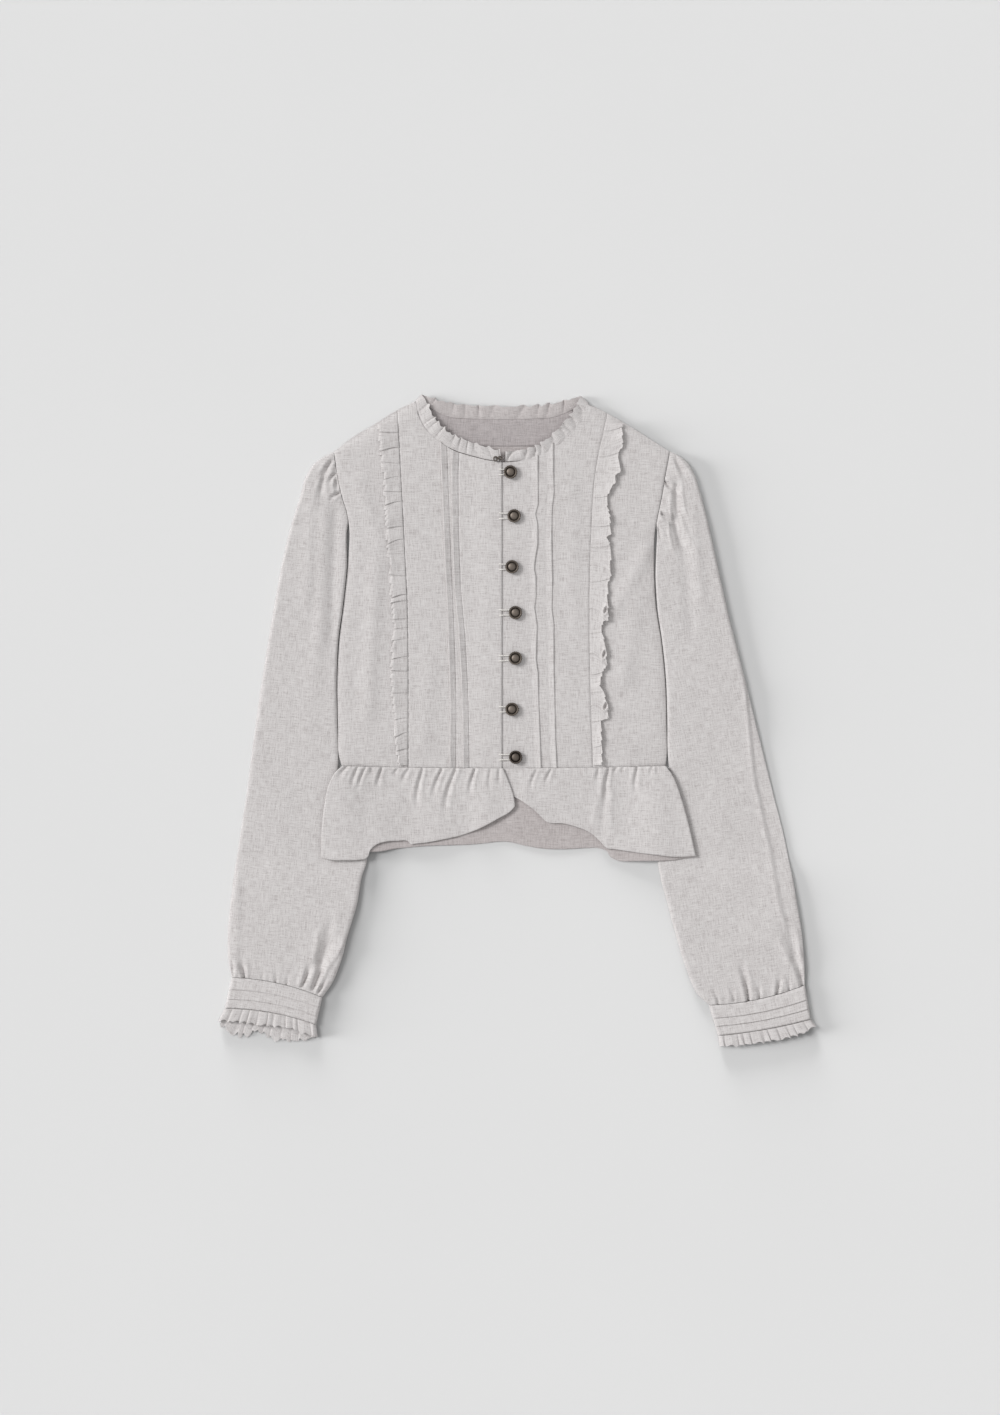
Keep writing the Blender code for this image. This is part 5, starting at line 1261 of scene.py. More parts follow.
@dataclass
class NeckRuffle(ClothPiece):
    """The gathered strip round the neck, folded over at each shoulder."""

    samples: int = 14  # columns for each wave
    wave: float = 1.05
    left_gain: float = 1.6  # how much bolder the waves of the left front are
    back_lift: float = 0.9  # how far the back lies off the facing
    turns: tuple[int, int] = (9, 19)  # rows of the route where it is folded over
    width: float = 14.0
    fullness: float = 1.5  # length of the cut for each length of seam

    def build(self) -> bpy.types.Object:
        """Makes the ruffle."""
        table = np.array(NECK_ROUTE)
        route = Curve(NECK_ROUTE)
        waves = np.arange(0, table[-1, 6] + 1e-6, 1 / self.samples)
        line = route.at(np.interp(waves, table[:, 6], route.along))
        over = [table[turn, 6] for turn in self.turns]
        calm = smooth((np.abs(waves[:, None] - np.array(over)).min(axis=1) - 0.5) / 0.8)
        on_back = (waves > over[0]) & (waves < over[1])
        line[:, [2, 5]] += (self.back_lift * on_back * calm)[:, None]
        size = self.wave * calm * np.where(waves > over[1], self.left_gain, 1.0)
        size *= 0.75 + 0.45 * np.sin(waves * 2.6) ** 2
        beat = waves + 0.3 * np.sin(waves * 1.7) + 0.1 * np.sin(waves * 4.1)
        slant = np.where(waves > over[1], 0.6, -0.3)  # the pleats lean, as waves by which they shift
        lean = np.sin(math.tau * beat + 0.6)
        seam, free = line[:, 0:3], line[:, 3:6]
        across = np.concatenate([[0.0, 0.06, 0.14], np.linspace(0.24, 0.94, 8), [0.98, 1.0]])
        sway = np.gradient(free[:, :2], axis=0)
        sway /= np.linalg.norm(sway, axis=1, keepdims=True)
        rows = []
        for share in across:
            points = seam + (free - seam) * share
            swing = 2.2 * np.abs(np.sin(math.pi * (beat + slant * share))) ** 0.38 - 1.6
            points[:, 2] += size * swing * (0.25 + 0.75 * share**0.7) - 0.35 * float(near(share * 12, 1.0))
            reach = 0.07 * share * calm * (lean + 0.7 * np.sin(waves * 9.1))
            points += (free - seam) * reach[:, None]
            swayed = 0.9 * share * calm * np.cos(math.tau * beat + 0.8 * np.sin(waves))
            points[:, :2] += sway * swayed[:, None]
            points[:, 2] = np.maximum(points[:, 2], 0.55)
            rows.append(points)
        grid = np.array(rows)
        length = np.concatenate([[0.0], np.cumsum(np.linalg.norm(np.diff(seam[:, :2], axis=0), axis=1))])
        pattern = np.dstack(np.broadcast_arrays(across[:, None] * self.width, self.fullness * length[None, :]))
        return self.sew(grid, pattern)


def over_sleeve(x: np.ndarray, y: np.ndarray) -> np.ndarray:
    """How high a peplum lies over the sleeves that pass under it.

    Args:
        x: Plan coordinates.
        y: Plan coordinates.

    Returns:
        Heights in mm.
    """
    height = np.zeros_like(x)
    for table, sign in ((RIGHT_SLEEVE, -1), (LEFT_SLEEVE, 1)):
        rows = np.array(table)
        inner = np.interp(-y, -rows[:, 3], rows[:, 2])
        climb = smooth((sign * (x - inner) + SLEEVE_MARGIN + SLEEVE_RAMP) / SLEEVE_RAMP)
        height = np.maximum(height, OVER_SLEEVE * climb)
    return height


def joined_edge(rows: Sequence[Row], low_end: np.ndarray, high_end: np.ndarray) -> Line:
    """An edge whose ends are moved to meet the edges that it joins.

    Args:
        rows: The edge's table.
        low_end: Where its first end has to lie.
        high_end: Where its last end has to lie.

    Returns:
        The edge as a line.
    """
    curve = Curve(rows)
    ends = curve.at(np.array([0.0, 1.0]))

    def line(share: np.ndarray) -> np.ndarray:
        """Points of the moved edge."""
        return curve.at(share) + np.outer(1 - share, low_end - ends[0]) + np.outer(share, high_end - ends[1])

    return line


@dataclass
class Peplum(ClothPiece):
    """A skirt piece, gathered into the waist seam; its rows run from the hem up."""

    hem: Sequence[Row] = ()
    start: Sequence[Row] = ()
    end: Sequence[Row] = ()
    gathers: Sequence[Row] = ()
    base: float = 0.0  # how far its underside lies over what is below it
    lifted: bool = False  # whether it climbs where the right front lies on the left
    puff: float = 0.9  # how far the gathers lift it below the waist seam
    flutes: float = 0.8  # height of the four slow waves of its hem
    gather_depth: float = 1.2  # how much deeper the gathers are than their table says
    hem_stitch: float = 0.0  # depth of the stitched line above the hem
    columns_along: int = 130
    plain_until: float | None = None  # x up to which it lies plain under the other front
    width: float = 190.0  # about its width and depth, to measure from its edges
    depth: float = 90.0

    def build(self) -> bpy.types.Object:
        """Makes the skirt piece."""
        hem = Curve(self.hem)
        first, last = self.start[-1][0], self.end[-1][0]

        def waist(share: np.ndarray) -> np.ndarray:
            """The edge in the waist seam."""
            xs = first * (1 - share) + last * share
            return np.column_stack([xs, -SEAM / 3 + waist_y(xs)])

        ends, corners = waist(np.array([0.0, 1.0])), hem.at(np.array([0.0, 1.0]))
        start = joined_edge(self.start, corners[0], ends[0])
        end = joined_edge(self.end, corners[1], ends[1])
        inside = np.linspace(0.02, 0.98, self.columns_along)
        us = np.concatenate([[0.0, 0.0025, 0.008], inside, [0.992, 0.9975, 1.0]])
        vs = np.concatenate([[0.0, 0.004, 0.012], np.linspace(0.026, 0.97, 58), [0.98, 0.99, 1.0]])
        plan = patch(hem.at, waist, start, end, us, vs)
        x, y = plan[..., 0], plan[..., 1]
        below = waist_y(x) - y
        fade = near(below, 34.0)
        waves = self.puff * fade + self.gather_depth * creases(self.gathers, x, y)
        hanging = smooth(below / 45.0)
        waves += self.flutes * hanging * (0.5 - 0.5 * np.cos(us[None, :] * math.tau * 4.0 + 0.8))
        waves += 0.22 * np.sin(x / 1.5 + 1.8 * np.sin(x / 13.0)) * near(below, 6.0)
        if self.plain_until is not None:
            waves = waves * smooth((x - self.plain_until) / 12.0)
        height = over_sleeve(x, y) + self.base + CLOTH + waves + uneven(x, y) - 0.6 * near(below, 1.2)
        if self.lifted:
            height += front_overlap(x)
        from_hem = vs[:, None] * self.depth
        height -= 0.7 * near(np.minimum(np.minimum(us, 1 - us)[None, :] * self.width, from_hem), 0.35)
        height -= self.hem_stitch * near(from_hem - 8.5, 0.8)
        return self.sew(raised(plan, height), plan[..., :2])


def section_ring(
    outer: np.ndarray, inner: np.ndarray, bow: float, height: float, reach: float, flat: np.ndarray
) -> tuple[np.ndarray, np.ndarray, np.ndarray]:
    """One closed ring of a flattened tube, from its outer fold over the top and back beneath.

    Args:
        outer: The outer folded edge.
        inner: The inner folded edge.
        bow: How far the middle of the section bows upwards in plan.
        height: The flattened tube's height.
        reach: How far its rounded folds reach inwards.
        flat: Shares of the columns on the flat top.

    Returns:
        The ring's points, the weight of surface relief at each, and each one's share across.
    """
    run = inner - outer
    width = float(np.linalg.norm(run))
    direction = run / width
    side = np.array([-direction[1], direction[0]])
    side = side if side[1] > 0 else -side
    angles = np.radians([0, 14, 28, 42, 56, 70, 82])
    arc, lift = reach * (1 - np.cos(angles)), np.sin(angles)
    top = reach + flat * (width - 2 * reach)
    low = reach + np.linspace(1, 0, 15) * (width - 2 * reach)
    low_arc, low_lift = arc[[1, 3, 5]], lift[[1, 3, 5]]
    across = np.concatenate([arc, top, width - arc[::-1], width - low_arc, low, low_arc[::-1]])
    high = np.concatenate([lift, np.ones(len(top)), lift[::-1], -low_lift, -np.ones(len(low)), -low_lift[::-1]])
    share = across / width
    plan = outer + np.outer(across, direction) + np.outer(4 * share * (1 - share) * bow, side)
    z = height / 2 * (1 + high)
    return np.column_stack([plan, z]), np.clip(high, 0, 1) ** 1.5, share


@dataclass
class Sleeve(ClothPiece):
    """A full sleeve pressed flat, gathered into the armhole above and into the cuff below."""

    half: Half = Half.RIGHT
    sections: Sequence[Section] = ()
    creases: Sequence[Row] = ()
    ridges: Sequence[Row] = ()
    stations: int = 225
    columns: int = 54
    length: float = 560.0
    reach: float = 4.8  # how far its rounded folded edges reach in
    fold_line: Sequence[Row] = ()
    seam_gap: float = 0.35
    cap: float = 0.1  # share of the length over which the head is drawn to the armhole
    fold_depth: float = 2.2  # how much deeper the laid folds are than their tables say

    def build(self) -> bpy.types.Object:
        """Makes the sleeve."""
        sign, table, armhole = self.half.value, Curve(self.sections), SIDES[self.half]
        middle = np.linspace(0.009, 0.991, self.stations)
        shares = np.concatenate([[0.0, 0.002, 0.005], middle, [0.995, 0.998, 1.0]])
        steps = np.linspace(0, 1, 400)
        armpit = np.interp(self.sections[0].inner_y, armhole.at(steps)[:, 1], steps)
        flat = np.linspace(0.0, 1.0, self.columns)
        rings, weights = [], []
        for share, row in zip(shares, table.at(shares)):
            ring, weight, across = section_ring(row[0:2], row[2:4], row[6], row[4], self.reach, flat)
            along_edge = armhole.at(1.0 + (armpit - 1.0) * across)
            along_edge[:, 0] += sign * self.seam_gap
            if share == 0.0:
                shift = along_edge - ring[:, :2]
            ring[:, :2] += shift * (1 - smooth(share / self.cap))
            rings.append(ring)
            weights.append(weight)
        grid, weight = np.array(rings), np.array(weights)
        x, y = grid[..., 0], grid[..., 1]
        down = (shares * self.length)[:, None]
        ends = 0.55 * (near(down, 1.6) + near(self.length - down, 1.6))
        small = 0.2 * np.sin(x / 1.35 + 1.7 * np.sin(x / 12.0)) * near(down - self.length + 2.0, 7.0)
        small += 0.18 * np.sin(y / 1.5 + 1.2 * np.sin(y / 11.0)) * near(down, 7.0)
        folds = self.fold_depth * creases(self.creases, x, y) + ridges(self.ridges, x, y)
        if self.fold_line:
            folds += self.long_fold(x, y)
        relief = uneven(x, y) * 1.3 + folds + small - ends
        grid[..., 2] += weight * relief
        return self.sew(grid, self.pattern(grid), ring=True)

    def long_fold(self, x: np.ndarray, y: np.ndarray) -> np.ndarray:
        """The long fold's low crest, and the strip outside it, which lies lower."""
        line = np.array(self.fold_line)[::-1]
        off = x - np.interp(y, line[:, 1], line[:, 0])
        fade = smooth((line[-1, 1] - y) / 40.0) * smooth((y - line[0, 1]) / 15.0 + 0.5)
        return fade * (0.8 * near(off, 2.2) - 1.3 * smooth(off / 4.0))

    def pattern(self, grid: np.ndarray) -> np.ndarray:
        """Cloth coordinates whose grain runs down the sleeve.

        Args:
            grid: The sleeve's rings.

        Returns:
            Cloth coordinates with the first column repeated at the end.
        """
        first, last = self.sections[2], self.sections[-1]
        down = np.array([last.outer_x + last.inner_x - first.outer_x - first.inner_x,
                         last.outer_y + last.inner_y - first.outer_y - first.inner_y])  # fmt: skip
        down /= np.linalg.norm(down)
        side = np.array([-down[1], down[0]])
        across = grid[..., :2] @ side
        middle = across.mean(axis=1, keepdims=True)
        drop = grid[..., 2].max(axis=1, keepdims=True) - grid[..., 2]
        across = across + np.sign(across - middle) * drop
        cloth = np.dstack([across, grid[..., :2] @ down])
        return np.concatenate([cloth, cloth[:, :1]], axis=1)


@dataclass
class Cuff(ClothPiece):
    """A flattened cuff whose tucks overlap downwards like shingles."""

    shape: CuffShape = RIGHT_CUFF
    height: float = 5.0
    reach: float = 3.0  # how far its rounded folded edges reach in
    step: float = 1.5  # how far each tuck stands over the next
    depth: float = 33.0
    columns: int = 60

    def build(self) -> bpy.types.Object:
        """Makes the cuff."""
        shape = self.shape
        rows = self.rows()
        ends = [np.array(p) for p in (shape.top_outer, shape.low_outer, shape.top_inner, shape.low_inner)]
        flat = np.linspace(0, 1, self.columns)
        rings, weights = [], []
        for share, rise in rows:
            outer, inner = ends[0] + share * (ends[1] - ends[0]), ends[2] + share * (ends[3] - ends[2])
            bow = shape.top_bow + share * (shape.low_bow - shape.top_bow)
            ring, weight, across = section_ring(outer, inner, bow, self.height, self.reach, flat)
            wave = 0.12 * np.sin(across * 70.0 + 9 * share) * near(min(share, 1 - share) * self.depth, 6.0)
            ring[:, 2] += weight * (rise + wave)
            rings.append(ring)
            weights.append(weight)
        grid = np.array(rings)
        grid[..., 2] += np.array(weights) * 0.7 * uneven(grid[..., 0], grid[..., 1])
        down = ends[1] + ends[3] - ends[0] - ends[2]
        down /= np.linalg.norm(down)
        side = np.array([-down[1], down[0]])
        pattern = np.dstack([grid[..., :2] @ side, grid[..., :2] @ down])
        return self.sew(grid, np.concatenate([pattern, pattern[:, :1]], axis=1), ring=True)

    def rows(self) -> list[tuple[float, float]]:
        """Shares down the cuff with the rise at each; every band ends in a sharp step."""
        stops = (0.0, *self.shape.bands, 1.0)
        rows = [(0.0, -0.55), (0.012, -0.3), (0.03, 0.0)]
        for first, last in zip(stops, stops[1:]):
            for part in np.linspace(0.12, 0.9, 7):
                rows.append((first + part * (last - first), self.step * (0.15 + 0.75 * part)))
            if last < 1.0:
                rows += [(last - 0.014, self.step), (last - 0.004, self.step * 0.85), (last, self.step * 0.4)]
                rows += [(last + 0.002, -0.02), (last + 0.014, 0.0)]
        return rows + [(0.96, self.step * 0.8), (0.975, self.step * 0.5), (0.988, -0.1), (1.0, -0.5)]


@dataclass
class CuffRuffle(ClothPiece):
    """The gathered strip on a cuff's end, a flattened ring with waves on both layers."""

    shape: CuffShape = RIGHT_CUFF
    waves: int = 11
    samples: int = 15  # columns for each wave
    wave: float = 2.3
    height: float = 5.2
    edge_roll: float = 5.0  # how far its rounded folded edges reach in
    width: float = 14.0
    fullness: float = 1.3  # length of the cut for each length of cuff

    def build(self) -> bpy.types.Object:
        """Makes the ruffle."""
        shape, count = self.shape, self.waves * self.samples
        waves = np.arange(2 * count) / self.samples
        across = np.concatenate([np.arange(count), np.arange(count, 0, -1)]) / count
        on_top = np.arange(2 * count) < count
        outer, inner = np.array(shape.low_outer), np.array(shape.low_inner)
        down = outer - np.array(shape.top_outer)
        down /= np.linalg.norm(down)
        across_cuff = float(np.linalg.norm(inner - outer))
        direction = (inner - outer) / across_cuff
        side = np.array([-direction[1], direction[0]])
        side = side if side[1] > 0 else -side
        edge = quarter_round(np.minimum(across, 1 - across) * across_cuff / self.edge_roll)
        bow = 4 * across * (1 - across) * shape.low_bow
        seam = outer + np.outer(across * across_cuff, direction) + np.outer(bow, side) + 0.35 * down
        over, beneath = Curve(shape.over).at(across), Curve(shape.under).at(across)
        free = np.where(on_top[:, None], over, beneath)
        beat = waves + 0.2 * np.sin(waves * 2.3) + 0.1 * np.sin(waves * 5.9)
        swing = np.abs(np.sin(math.pi * beat)) ** 0.5
        lean = np.sin(math.tau * beat)
        middle = self.height / 2
        rows = []
        reaches = np.concatenate([[0.0, 0.04, 0.1, 0.18], np.linspace(0.3, 0.95, 7), [1.0]])
        for reach in reaches:
            plan = seam + (free - seam) * reach * (1 + 0.07 * lean + 0.05 * np.sin(waves * 8.3))[:, None]
            plan += np.outer(0.9 * reach * np.cos(math.tau * beat) * edge, direction)
            rise = self.wave * (0.45 + 0.55 * reach) * (swing - 0.35) * edge
            top = middle + (middle - 0.3) * edge + rise - 0.5 * float(near(reach * self.width, 1.0))
            low = middle - (middle - 0.6) * edge + 0.6 * np.maximum(rise, 0)
            rows.append(np.column_stack([plan, np.where(on_top, top, low)]))
        grid = np.array(rows)
        grid[..., 2] = np.maximum(grid[..., 2], 0.05)
        round_way = np.linspace(0, 2 * self.fullness * across_cuff, 2 * count + 1)
        pattern = np.dstack(np.broadcast_arrays(round_way[None, :], reaches[:, None] * self.width))
        return self.sew(grid, pattern, ring=True)


def finish_solid(piece: bpy.types.Object, name: str, material: bpy.types.Material) -> bpy.types.Object:
    """Names and dresses a hard piece, with its place in its mesh.

    Args:
        piece: The modelled piece.
        name: Its name.
        material: Its finish.

    Returns:
        The same piece.
    """
    piece.name = piece.data.name = name
    bpy.ops.object.select_all(action="DESELECT")
    bpy.context.view_layer.objects.active = piece
    piece.select_set(True)
    bpy.ops.object.transform_apply(location=True, rotation=True, scale=True)
    piece.data.materials.clear()
    piece.data.materials.append(material)
    bpy.ops.object.shade_smooth_by_angle(angle=math.radians(40))
    return piece


@dataclass
class Buttons:
    """Domed shank buttons with a roped rim, and the thread loops that hold them."""

    metal: bpy.types.Material
    thread: bpy.types.Material
    radius: float = 7.0
    shank: float = 2.0
    rope: float = 0.32  # how far the rim's strands stand out
    strands: int = 22
    loop_width: float = 1.2
    loop_spread: float = 3.0  # half the distance between a loop's two ends
    root: float = -3.2  # x where a loop is sewn on

    def profile(self) -> list[tuple[float, float]]:
        """Radius and height from the shank's foot over the rim to the crown."""
        r, s = self.radius, self.shank
        return [
            (s, 0.0), (s, 1.9), (s + 0.6, 2.2), (r - 1.6, 2.3), (r - 0.6, 2.6), (r - 0.05, 3.1), (r, 3.6),
            (r - 0.3, 4.15), (r - 0.8, 4.45), (r - 1.4, 4.35), (r - 1.9, 3.8), (r - 2.2, 3.3), (r - 2.55, 3.25),
            (r - 2.75, 3.75), (r - 3.1, 4.25), (r - 3.7, 4.6), (r - 4.7, 4.9), (r - 5.8, 5.05), (0.25, 5.1),
        ]  # fmt: skip

    def model(self) -> bpy.types.Object:
        """Models one button on the origin, by extruding a disc upwards step by step."""
        profile = self.profile()
        bpy.ops.object.select_all(action="DESELECT")
        bpy.ops.mesh.primitive_circle_add(
            vertices=3 * self.strands, radius=profile[0][0] * MM, fill_type="NGON", location=(0, 0, 0)
        )
        button = bpy.context.object
        bpy.ops.object.mode_set(mode="EDIT")
        bpy.ops.mesh.select_all(action="SELECT")
        for (radius, height), (wider, higher) in zip(profile, profile[1:]):
            bpy.ops.mesh.extrude_region_move(TRANSFORM_OT_translate={"value": (0, 0, (higher - height) * MM)})
            share = wider / radius
            bpy.ops.transform.resize(value=(share, share, 1.0), center_override=(0, 0, higher * MM))
        bpy.ops.mesh.select_all(action="SELECT")
        bpy.ops.mesh.remove_doubles(threshold=1e-7)
        bpy.ops.mesh.normals_make_consistent(inside=False)
        bpy.ops.object.mode_set(mode="OBJECT")
        self.rope_rim(button.data)
        return button

    def rope_rim(self, mesh: bpy.types.Mesh) -> None:
        """Twists little strands into the rim."""
        for vertex in mesh.vertices:
            x, y, z = (c / MM for c in vertex.co)
            radius, turn = math.hypot(x, y), math.atan2(y, x)
            if radius < self.radius - 1.7 or z < 2.1:
                continue
            strand = math.sin(turn * self.strands + (radius - self.radius) * 1.6 + z * 0.9)
            grow = 1 + self.rope * strand / radius
            vertex.co = (x * grow * MM, y * grow * MM, (z + 0.5 * self.rope * strand) * MM)

    def loop_line(self, x: float, y: float, low: float, high: float) -> list[tuple[float, float, float]]:
        """A loop's route from the right front's edge round the shank.

        Args:
            x: The button's place.
            y: The button's place.
            low: Top of the cloth under the button.
            high: Top of the cloth where the loop is sewn on.

        Returns:
            Points in garment millimetres.
        """
        lay, turn = self.loop_width / 2 + 0.2, self.shank + SEAM + self.loop_width / 2
        arms = [(self.root, self.loop_spread, high + lay - 0.5), (-0.6, self.loop_spread * 0.95, high + lay)]
        arms += [(2.2, self.loop_spread * 0.85, low + lay + 0.7)]
        angles = np.radians([100, 60, 20])
        bend = [(x + turn * math.cos(a), turn * math.sin(a), low + lay + 0.2) for a in angles]
        half = arms + bend
        return [(px, y + py, pz) for px, py, pz in half] + [(px, y - py, pz) for px, py, pz in reversed(half)]

    def loop(self, number: int, line: Sequence[tuple[float, float, float]]) -> bpy.types.Object:
        """Models a loop as a round thread along its route.

        Args:
            number: The button's number.
            line: The route in garment millimetres.

        Returns:
            The loop as a mesh.
        """
        curve = bpy.data.curves.new(f"loop_{number}", "CURVE")
        curve.dimensions, curve.bevel_depth, curve.bevel_resolution = "3D", self.loop_width / 2 * MM, 3
        curve.resolution_u, curve.use_fill_caps = 6, True
        spline = curve.splines.new("NURBS")
        spline.points.add(len(line) - 1)
        for point, place in zip(spline.points, line):
            point.co = (*((np.array(place) + WAIST_MIDDLE) * MM), 1.0)
        spline.use_endpoint_u, spline.order_u = True, 3
        thread = bpy.data.objects.new(f"loop_{number}", curve)
        bpy.context.scene.collection.objects.link(thread)
        bpy.ops.object.select_all(action="DESELECT")
        bpy.context.view_layer.objects.active = thread
        thread.select_set(True)
        bpy.ops.object.convert(target="MESH")
        return bpy.context.object

    def build(self) -> None:
        """Makes the seven buttons and their loops."""
        pattern = self.model()
        for number, (x, y) in enumerate(BUTTONS, start=1):
            base = float(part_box(f"button_{number}")[0][2]) / MM
            copy = bpy.data.objects.new(f"dome_{number}", pattern.data.copy())
            bpy.context.scene.collection.objects.link(copy)
            copy.location = (np.array([x, y, base]) + WAIST_MIDDLE) * MM
            copy.rotation_euler.z = 0.7 * number
            carry(finish_solid(copy, f"brass_button_{number}", self.metal), Slot.BUTTON, f"button_{number}")
            places = np.array([x]), np.array([y])
            low = float(front_lie(*places)[0])
            high = float(front_lie(np.array([-1.5]), places[1])[0]) + LIFT
            loop = self.loop(number, self.loop_line(x, y, low, high))
            carry(finish_solid(loop, f"thread_loop_{number}", self.thread), Slot.THREAD, f"button_loop_{number}")
        bpy.data.objects.remove(pattern, do_unlink=True)


@dataclass
class NeckFastener:
    """The wire hook and eye that close the neck above the top button."""

    metal: bpy.types.Material
    wire: float = 0.65  # radius of the wire

    def ring(self, node: str, name: str, radius: float, stretch: float) -> None:
        """Models one bent wire in the place of its CAD ring.

        Args:
            node: The CAD node that it stands for.
            name: The piece's name.
            radius: Radius of the wire's middle.
            stretch: How much longer than wide the bend is.
        """
        low, high = (np.array(corner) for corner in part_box(node))
        middle = (low + high) / 2
        bpy.ops.object.select_all(action="DESELECT")
        bpy.ops.mesh.primitive_torus_add(
            major_segments=40, minor_segments=10, major_radius=radius * MM, minor_radius=self.wire * MM,
            location=tuple(middle),
        )  # fmt: skip
        bent = bpy.context.object
        for vertex in bent.data.vertices:
            x, y, z = vertex.co
            vertex.co = (x * (1 + 0.18 * y / (radius * MM)), y * stretch, z)
        carry(finish_solid(bent, name, self.metal), Slot.BUTTON, node)

    def build(self) -> None:
        """Makes the hook and the eye."""
        self.ring("neck_hook", "wire_hook", 1.9, 1.15)
        self.ring("neck_eye", "wire_eye", 1.6, 1.1)


class Lamp(NamedTuple):
    """A distant lamp: its strength, and in degrees its height, its side from +X and its softness.

    A lamp for the paper alone stands low, as a background's own lights do, and gives it the wide soft shade.
    """

    name: str
    strength: float
    height: float
    side: float
    softness: float
    paper_alone: bool


@dataclass
class Studio:
    """The pale table, the soft light from the upper left and the camera straight above."""

    view_width: float = 1.05  # what the picture takes in at the table, in metres
    centre: tuple[float, float] = (-0.0181, 0.0133)
    camera_height: float = 4.2
    lamps: tuple[Lamp, ...] = (
        Lamp("window", 2.1, 37.0, 158.0, 22.0, False), Lamp("paper_lamp_side", 12.2, 6.0, 180.0, 22.0, True),
        Lamp("paper_lamp_top", 11.5, 4.0, 104.0, 22.0, True),
    )  # fmt: skip
    sky: float = 0.55
    sensor: float = 36.0
    picture: tuple[int, int] = (1000, 1415)

    def table(self) -> bpy.types.Object:
        """Lays the plain pale paper."""
        bpy.ops.object.select_all(action="DESELECT")
        bpy.ops.mesh.primitive_plane_add(size=9.0, location=(0, 0, 0))
        table = bpy.context.object
        table.name = "paper_table"
        table.data.materials.append(PaperBackdrop().material())
        return table

    def light(self, table: bpy.types.Object) -> None:
        """Hangs the lamps and an even sky.

        Args:
            table: The paper that some lamps light alone.
        """
        paper = bpy.data.collections.new("paper")
        paper.objects.link(table)
        for lamp in self.lamps:
            light = bpy.data.lights.new(lamp.name, "SUN")
            light.energy, light.angle = lamp.strength, math.radians(lamp.softness)
            holder = bpy.data.objects.new(lamp.name, light)
            holder.rotation_euler = (0.0, math.radians(90 - lamp.height), math.radians(lamp.side))
            bpy.context.scene.collection.objects.link(holder)
            if lamp.paper_alone:
                holder.light_linking.receiver_collection = paper
        world = bpy.data.worlds.new("soft_sky")
        world.use_nodes = True
        ground = world.node_tree.nodes["Background"]
        ground.inputs["Color"].default_value = (1.0, 1.0, 1.0, 1.0)
        ground.inputs["Strength"].default_value = self.sky
        bpy.context.scene.world = world

    def camera(self) -> None:
        """Looks straight down."""
        lens = bpy.data.cameras.new("overhead")
        lens.sensor_fit, lens.sensor_height = "VERTICAL", self.sensor
        wide, high = self.picture
        lens.lens = self.sensor * self.camera_height / (self.view_width * high / wide)
        lens.clip_end = 100.0
        holder = bpy.data.objects.new("overhead", lens)
        holder.location = (*self.centre, self.camera_height)
        bpy.context.scene.collection.objects.link(holder)
        bpy.context.scene.camera = holder
        bpy.context.scene.view_settings.view_transform = "Standard"

    def build(self) -> None:
        """Sets up the whole studio."""
        self.light(self.table())
        self.camera()


def build_body(
    cloth: bpy.types.Material, inside: bpy.types.Material, facing: bpy.types.Material, ruffle: bpy.types.Material
) -> None:
    """Sews the back, the facing, the four front panels and the frills between them.

    Args:
        cloth: The shirting.
        inside: The shirting of the back's inside.
        facing: The shirting of the facing, made darker as painted shade for the neck's shade.
        ruffle: The shirting of the neck ruffle, whose inner face shows at the back, darkened there as painted
            shade.
    """
    laid, gathered = Held.LAID, Held.GATHERED
    Back("back_cloth", "back", (0.352, 0.386), laid, inside, area=0.124).build()
    NeckFacing("facing_cloth", "neck_facing", (0.15, 0.04), laid, facing, 0.0046, ["back"], Slot.FACING).build()
    CentreFront("centre_front_right", "front_centre_right", (0.112, 0.385), laid, cloth, 0.036, ["back"]).build()
    CentreFront(
        "centre_front_left", "front_centre_left", (0.124, 0.382), laid, cloth, 0.038, ["back"], half=Half.LEFT,
        folds=(49.0, 67.0), rise=1.2, stitch_dip=0.05,
    ).build()  # fmt: skip
    SideFront("side_front_right", "front_side_right", (0.078, 0.376), laid, cloth, 0.024, ["back"]).build()
    SideFront(
        "side_front_left", "front_side_left", (0.082, 0.372), laid, cloth, 0.025, ["back"], half=Half.LEFT
    ).build()
    FrontFrill(
        "frill_cloth_right", "frill_right", (0.018, 0.45), gathered, cloth, None, ["front_side_right"],
        widths=RIGHT_FRILL, pleats=RIGHT_PLEATS,
    ).build()  # fmt: skip
    FrontFrill(
        "frill_cloth_left", "frill_left", (0.018, 0.45), gathered, cloth, None, ["front_side_left"],
        half=Half.LEFT, widths=LEFT_FRILL, pleats=LEFT_PLEATS, stand=3.8, rise=0.8, notch=1.6, lip=0.5,
        curls=(165.9, 119.7, 65.1), rows_across=30,
    ).build()  # fmt: skip
    NeckRuffle("neck_ruffle_cloth", "neck_ruffle", (0.015, 0.5), gathered, ruffle, None, ["neck_facing"]).build()


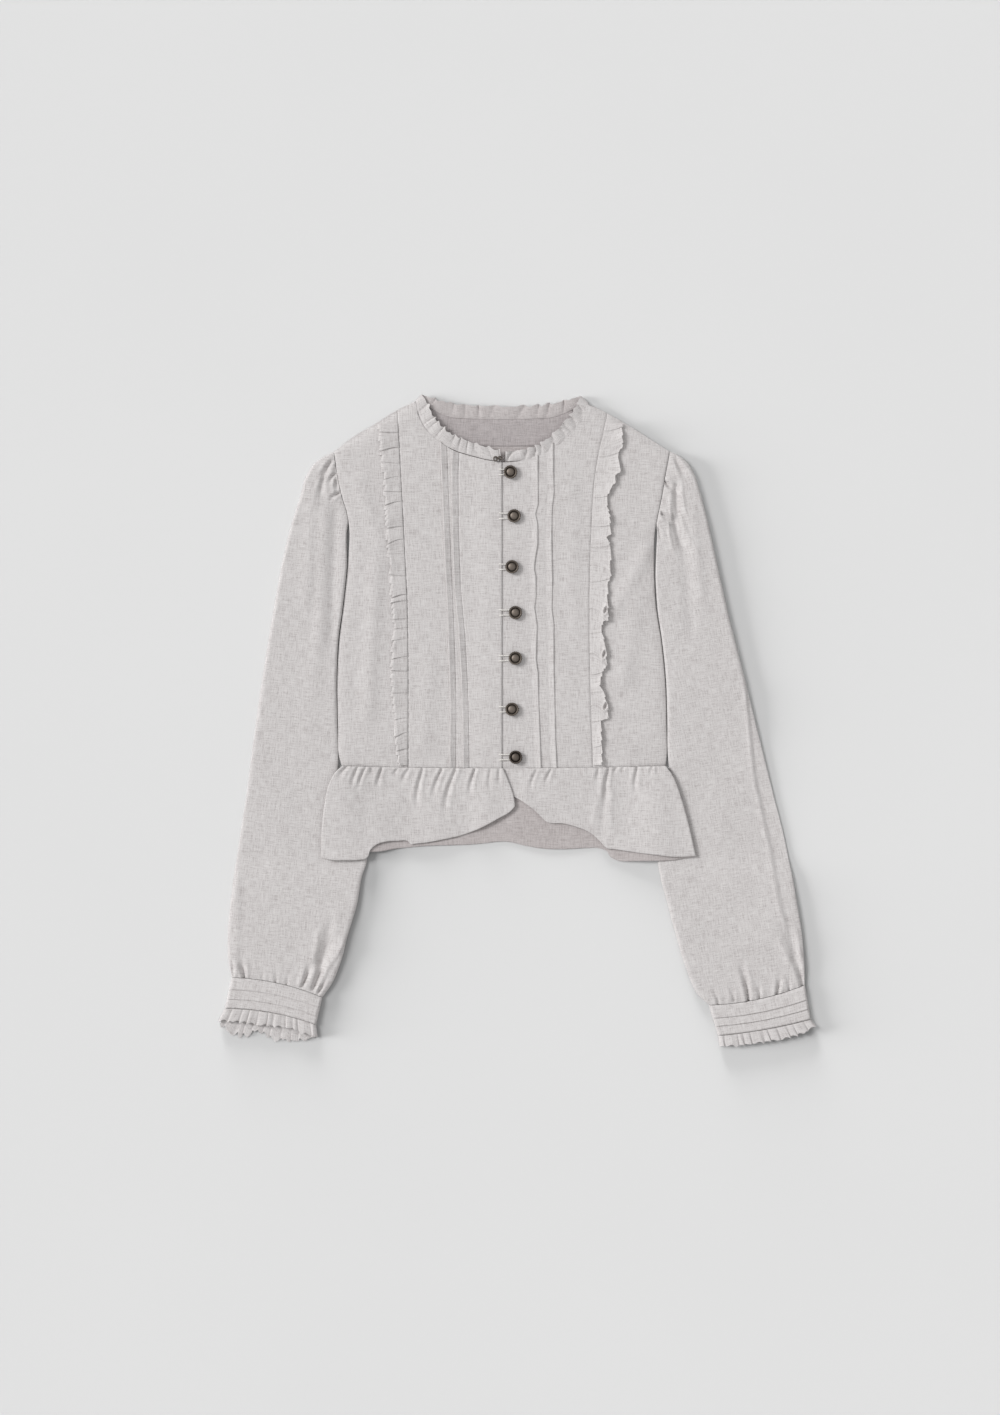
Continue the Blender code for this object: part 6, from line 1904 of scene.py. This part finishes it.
def build_peplums(cloth: bpy.types.Material, inside: bpy.types.Material) -> None:
    """Sews the two front skirt pieces and the back one.

    Args:
        cloth: The shirting.
        inside: The shirting of the inside.
    """
    base = CLOTH + SEAM + PEPLUM_LOFT
    gathered = Held.GATHERED
    Peplum(
        "peplum_cloth_back", "peplum_back", (0.42, 0.098), gathered, inside, 0.038, hem=BACK_HEM,
        start=BACK_PEPLUM_RIGHT, end=BACK_PEPLUM_LEFT, puff=0.0, flutes=0.5, hem_stitch=0.5, columns_along=170,
    ).build()  # fmt: skip
    Peplum(
        "peplum_cloth_right", "peplum_right", (0.23, 0.097), gathered, cloth, 0.018, ["peplum_back"],
        hem=RIGHT_PEPLUM_HEM, start=RIGHT_PEPLUM_SIDE, end=RIGHT_PEPLUM_FRONT, gathers=RIGHT_GATHERS, base=base,
        lifted=True,
    ).build()  # fmt: skip
    Peplum(
        "peplum_cloth_left", "peplum_left", (0.22, 0.094), gathered, cloth, 0.016, ["peplum_back"],
        hem=LEFT_PEPLUM_HEM, start=LEFT_PEPLUM_FRONT, end=LEFT_PEPLUM_SIDE, gathers=LEFT_GATHERS, base=base,
        plain_until=15.0,
    ).build()  # fmt: skip


def build_sleeves(cloth: bpy.types.Material) -> None:
    """Sews the sleeves, their cuffs and the cuffs' ruffles.

    Args:
        cloth: The shirting.
    """
    tables = (
        (Half.RIGHT, RIGHT_SLEEVE, RIGHT_SLEEVE_CREASES, RIGHT_SLEEVE_RIDGES, RIGHT_CUFF),
        (Half.LEFT, LEFT_SLEEVE, LEFT_SLEEVE_CREASES, LEFT_SLEEVE_RIDGES, LEFT_CUFF),
    )
    for half, sections, folds, soft, shape in tables:
        label = half.label
        Sleeve(
            f"sleeve_cloth_{label}", f"sleeve_{label}", (0.3, 0.58), Held.GATHERED, cloth, 0.13, half=half,
            sections=sections, creases=folds, ridges=soft,
            fold_line=LEFT_SLEEVE_FOLD if half is Half.LEFT else (),
        ).build()  # fmt: skip
        Cuff(f"cuff_cloth_{label}", f"cuff_{label}", (0.2, 0.034), Held.FOLDED, cloth, shape=shape).build()
        CuffRuffle(
            f"cuff_ruffle_cloth_{label}", f"cuff_ruffle_{label}", (0.24, 0.013), Held.GATHERED, cloth, shape=shape
        ).build()


def main() -> None:
    """Builds the studio and every piece of the shirt."""
    logging.basicConfig(level=logging.INFO, format="%(message)s")
    Studio().build()
    cloth = HeatherShirting().material()
    # The facing's darker copy of the shirting is painted shade: the same cloth, darkened where the neck lies in
    # shade.
    facing = HeatherShirting(
        name="heather_flannel_facing_painted_shade", dark_yarn="979090", middle="b4adad", light_yarn="c6c0c0"
    ).material()
    inside = HeatherShirting(
        name="heather_flannel_inside", dark_yarn="a09897", middle="bdb6b5", light_yarn="cec8c7"
    ).material()
    # The ruffle's stretch at the back of the neck is darkened as painted shade.
    ruffle = HeatherShirting(name="heather_flannel_ruffle", painted_shade_stretch=(183.0, 462.0)).material()
    build_body(cloth, inside, facing, ruffle)
    build_peplums(cloth, inside)
    build_sleeves(cloth)
    metal = AntiqueBrass().material()
    Buttons(metal, LoopThread().material()).build()
    NeckFastener(metal).build()


if __name__ == "__main__":
    main()
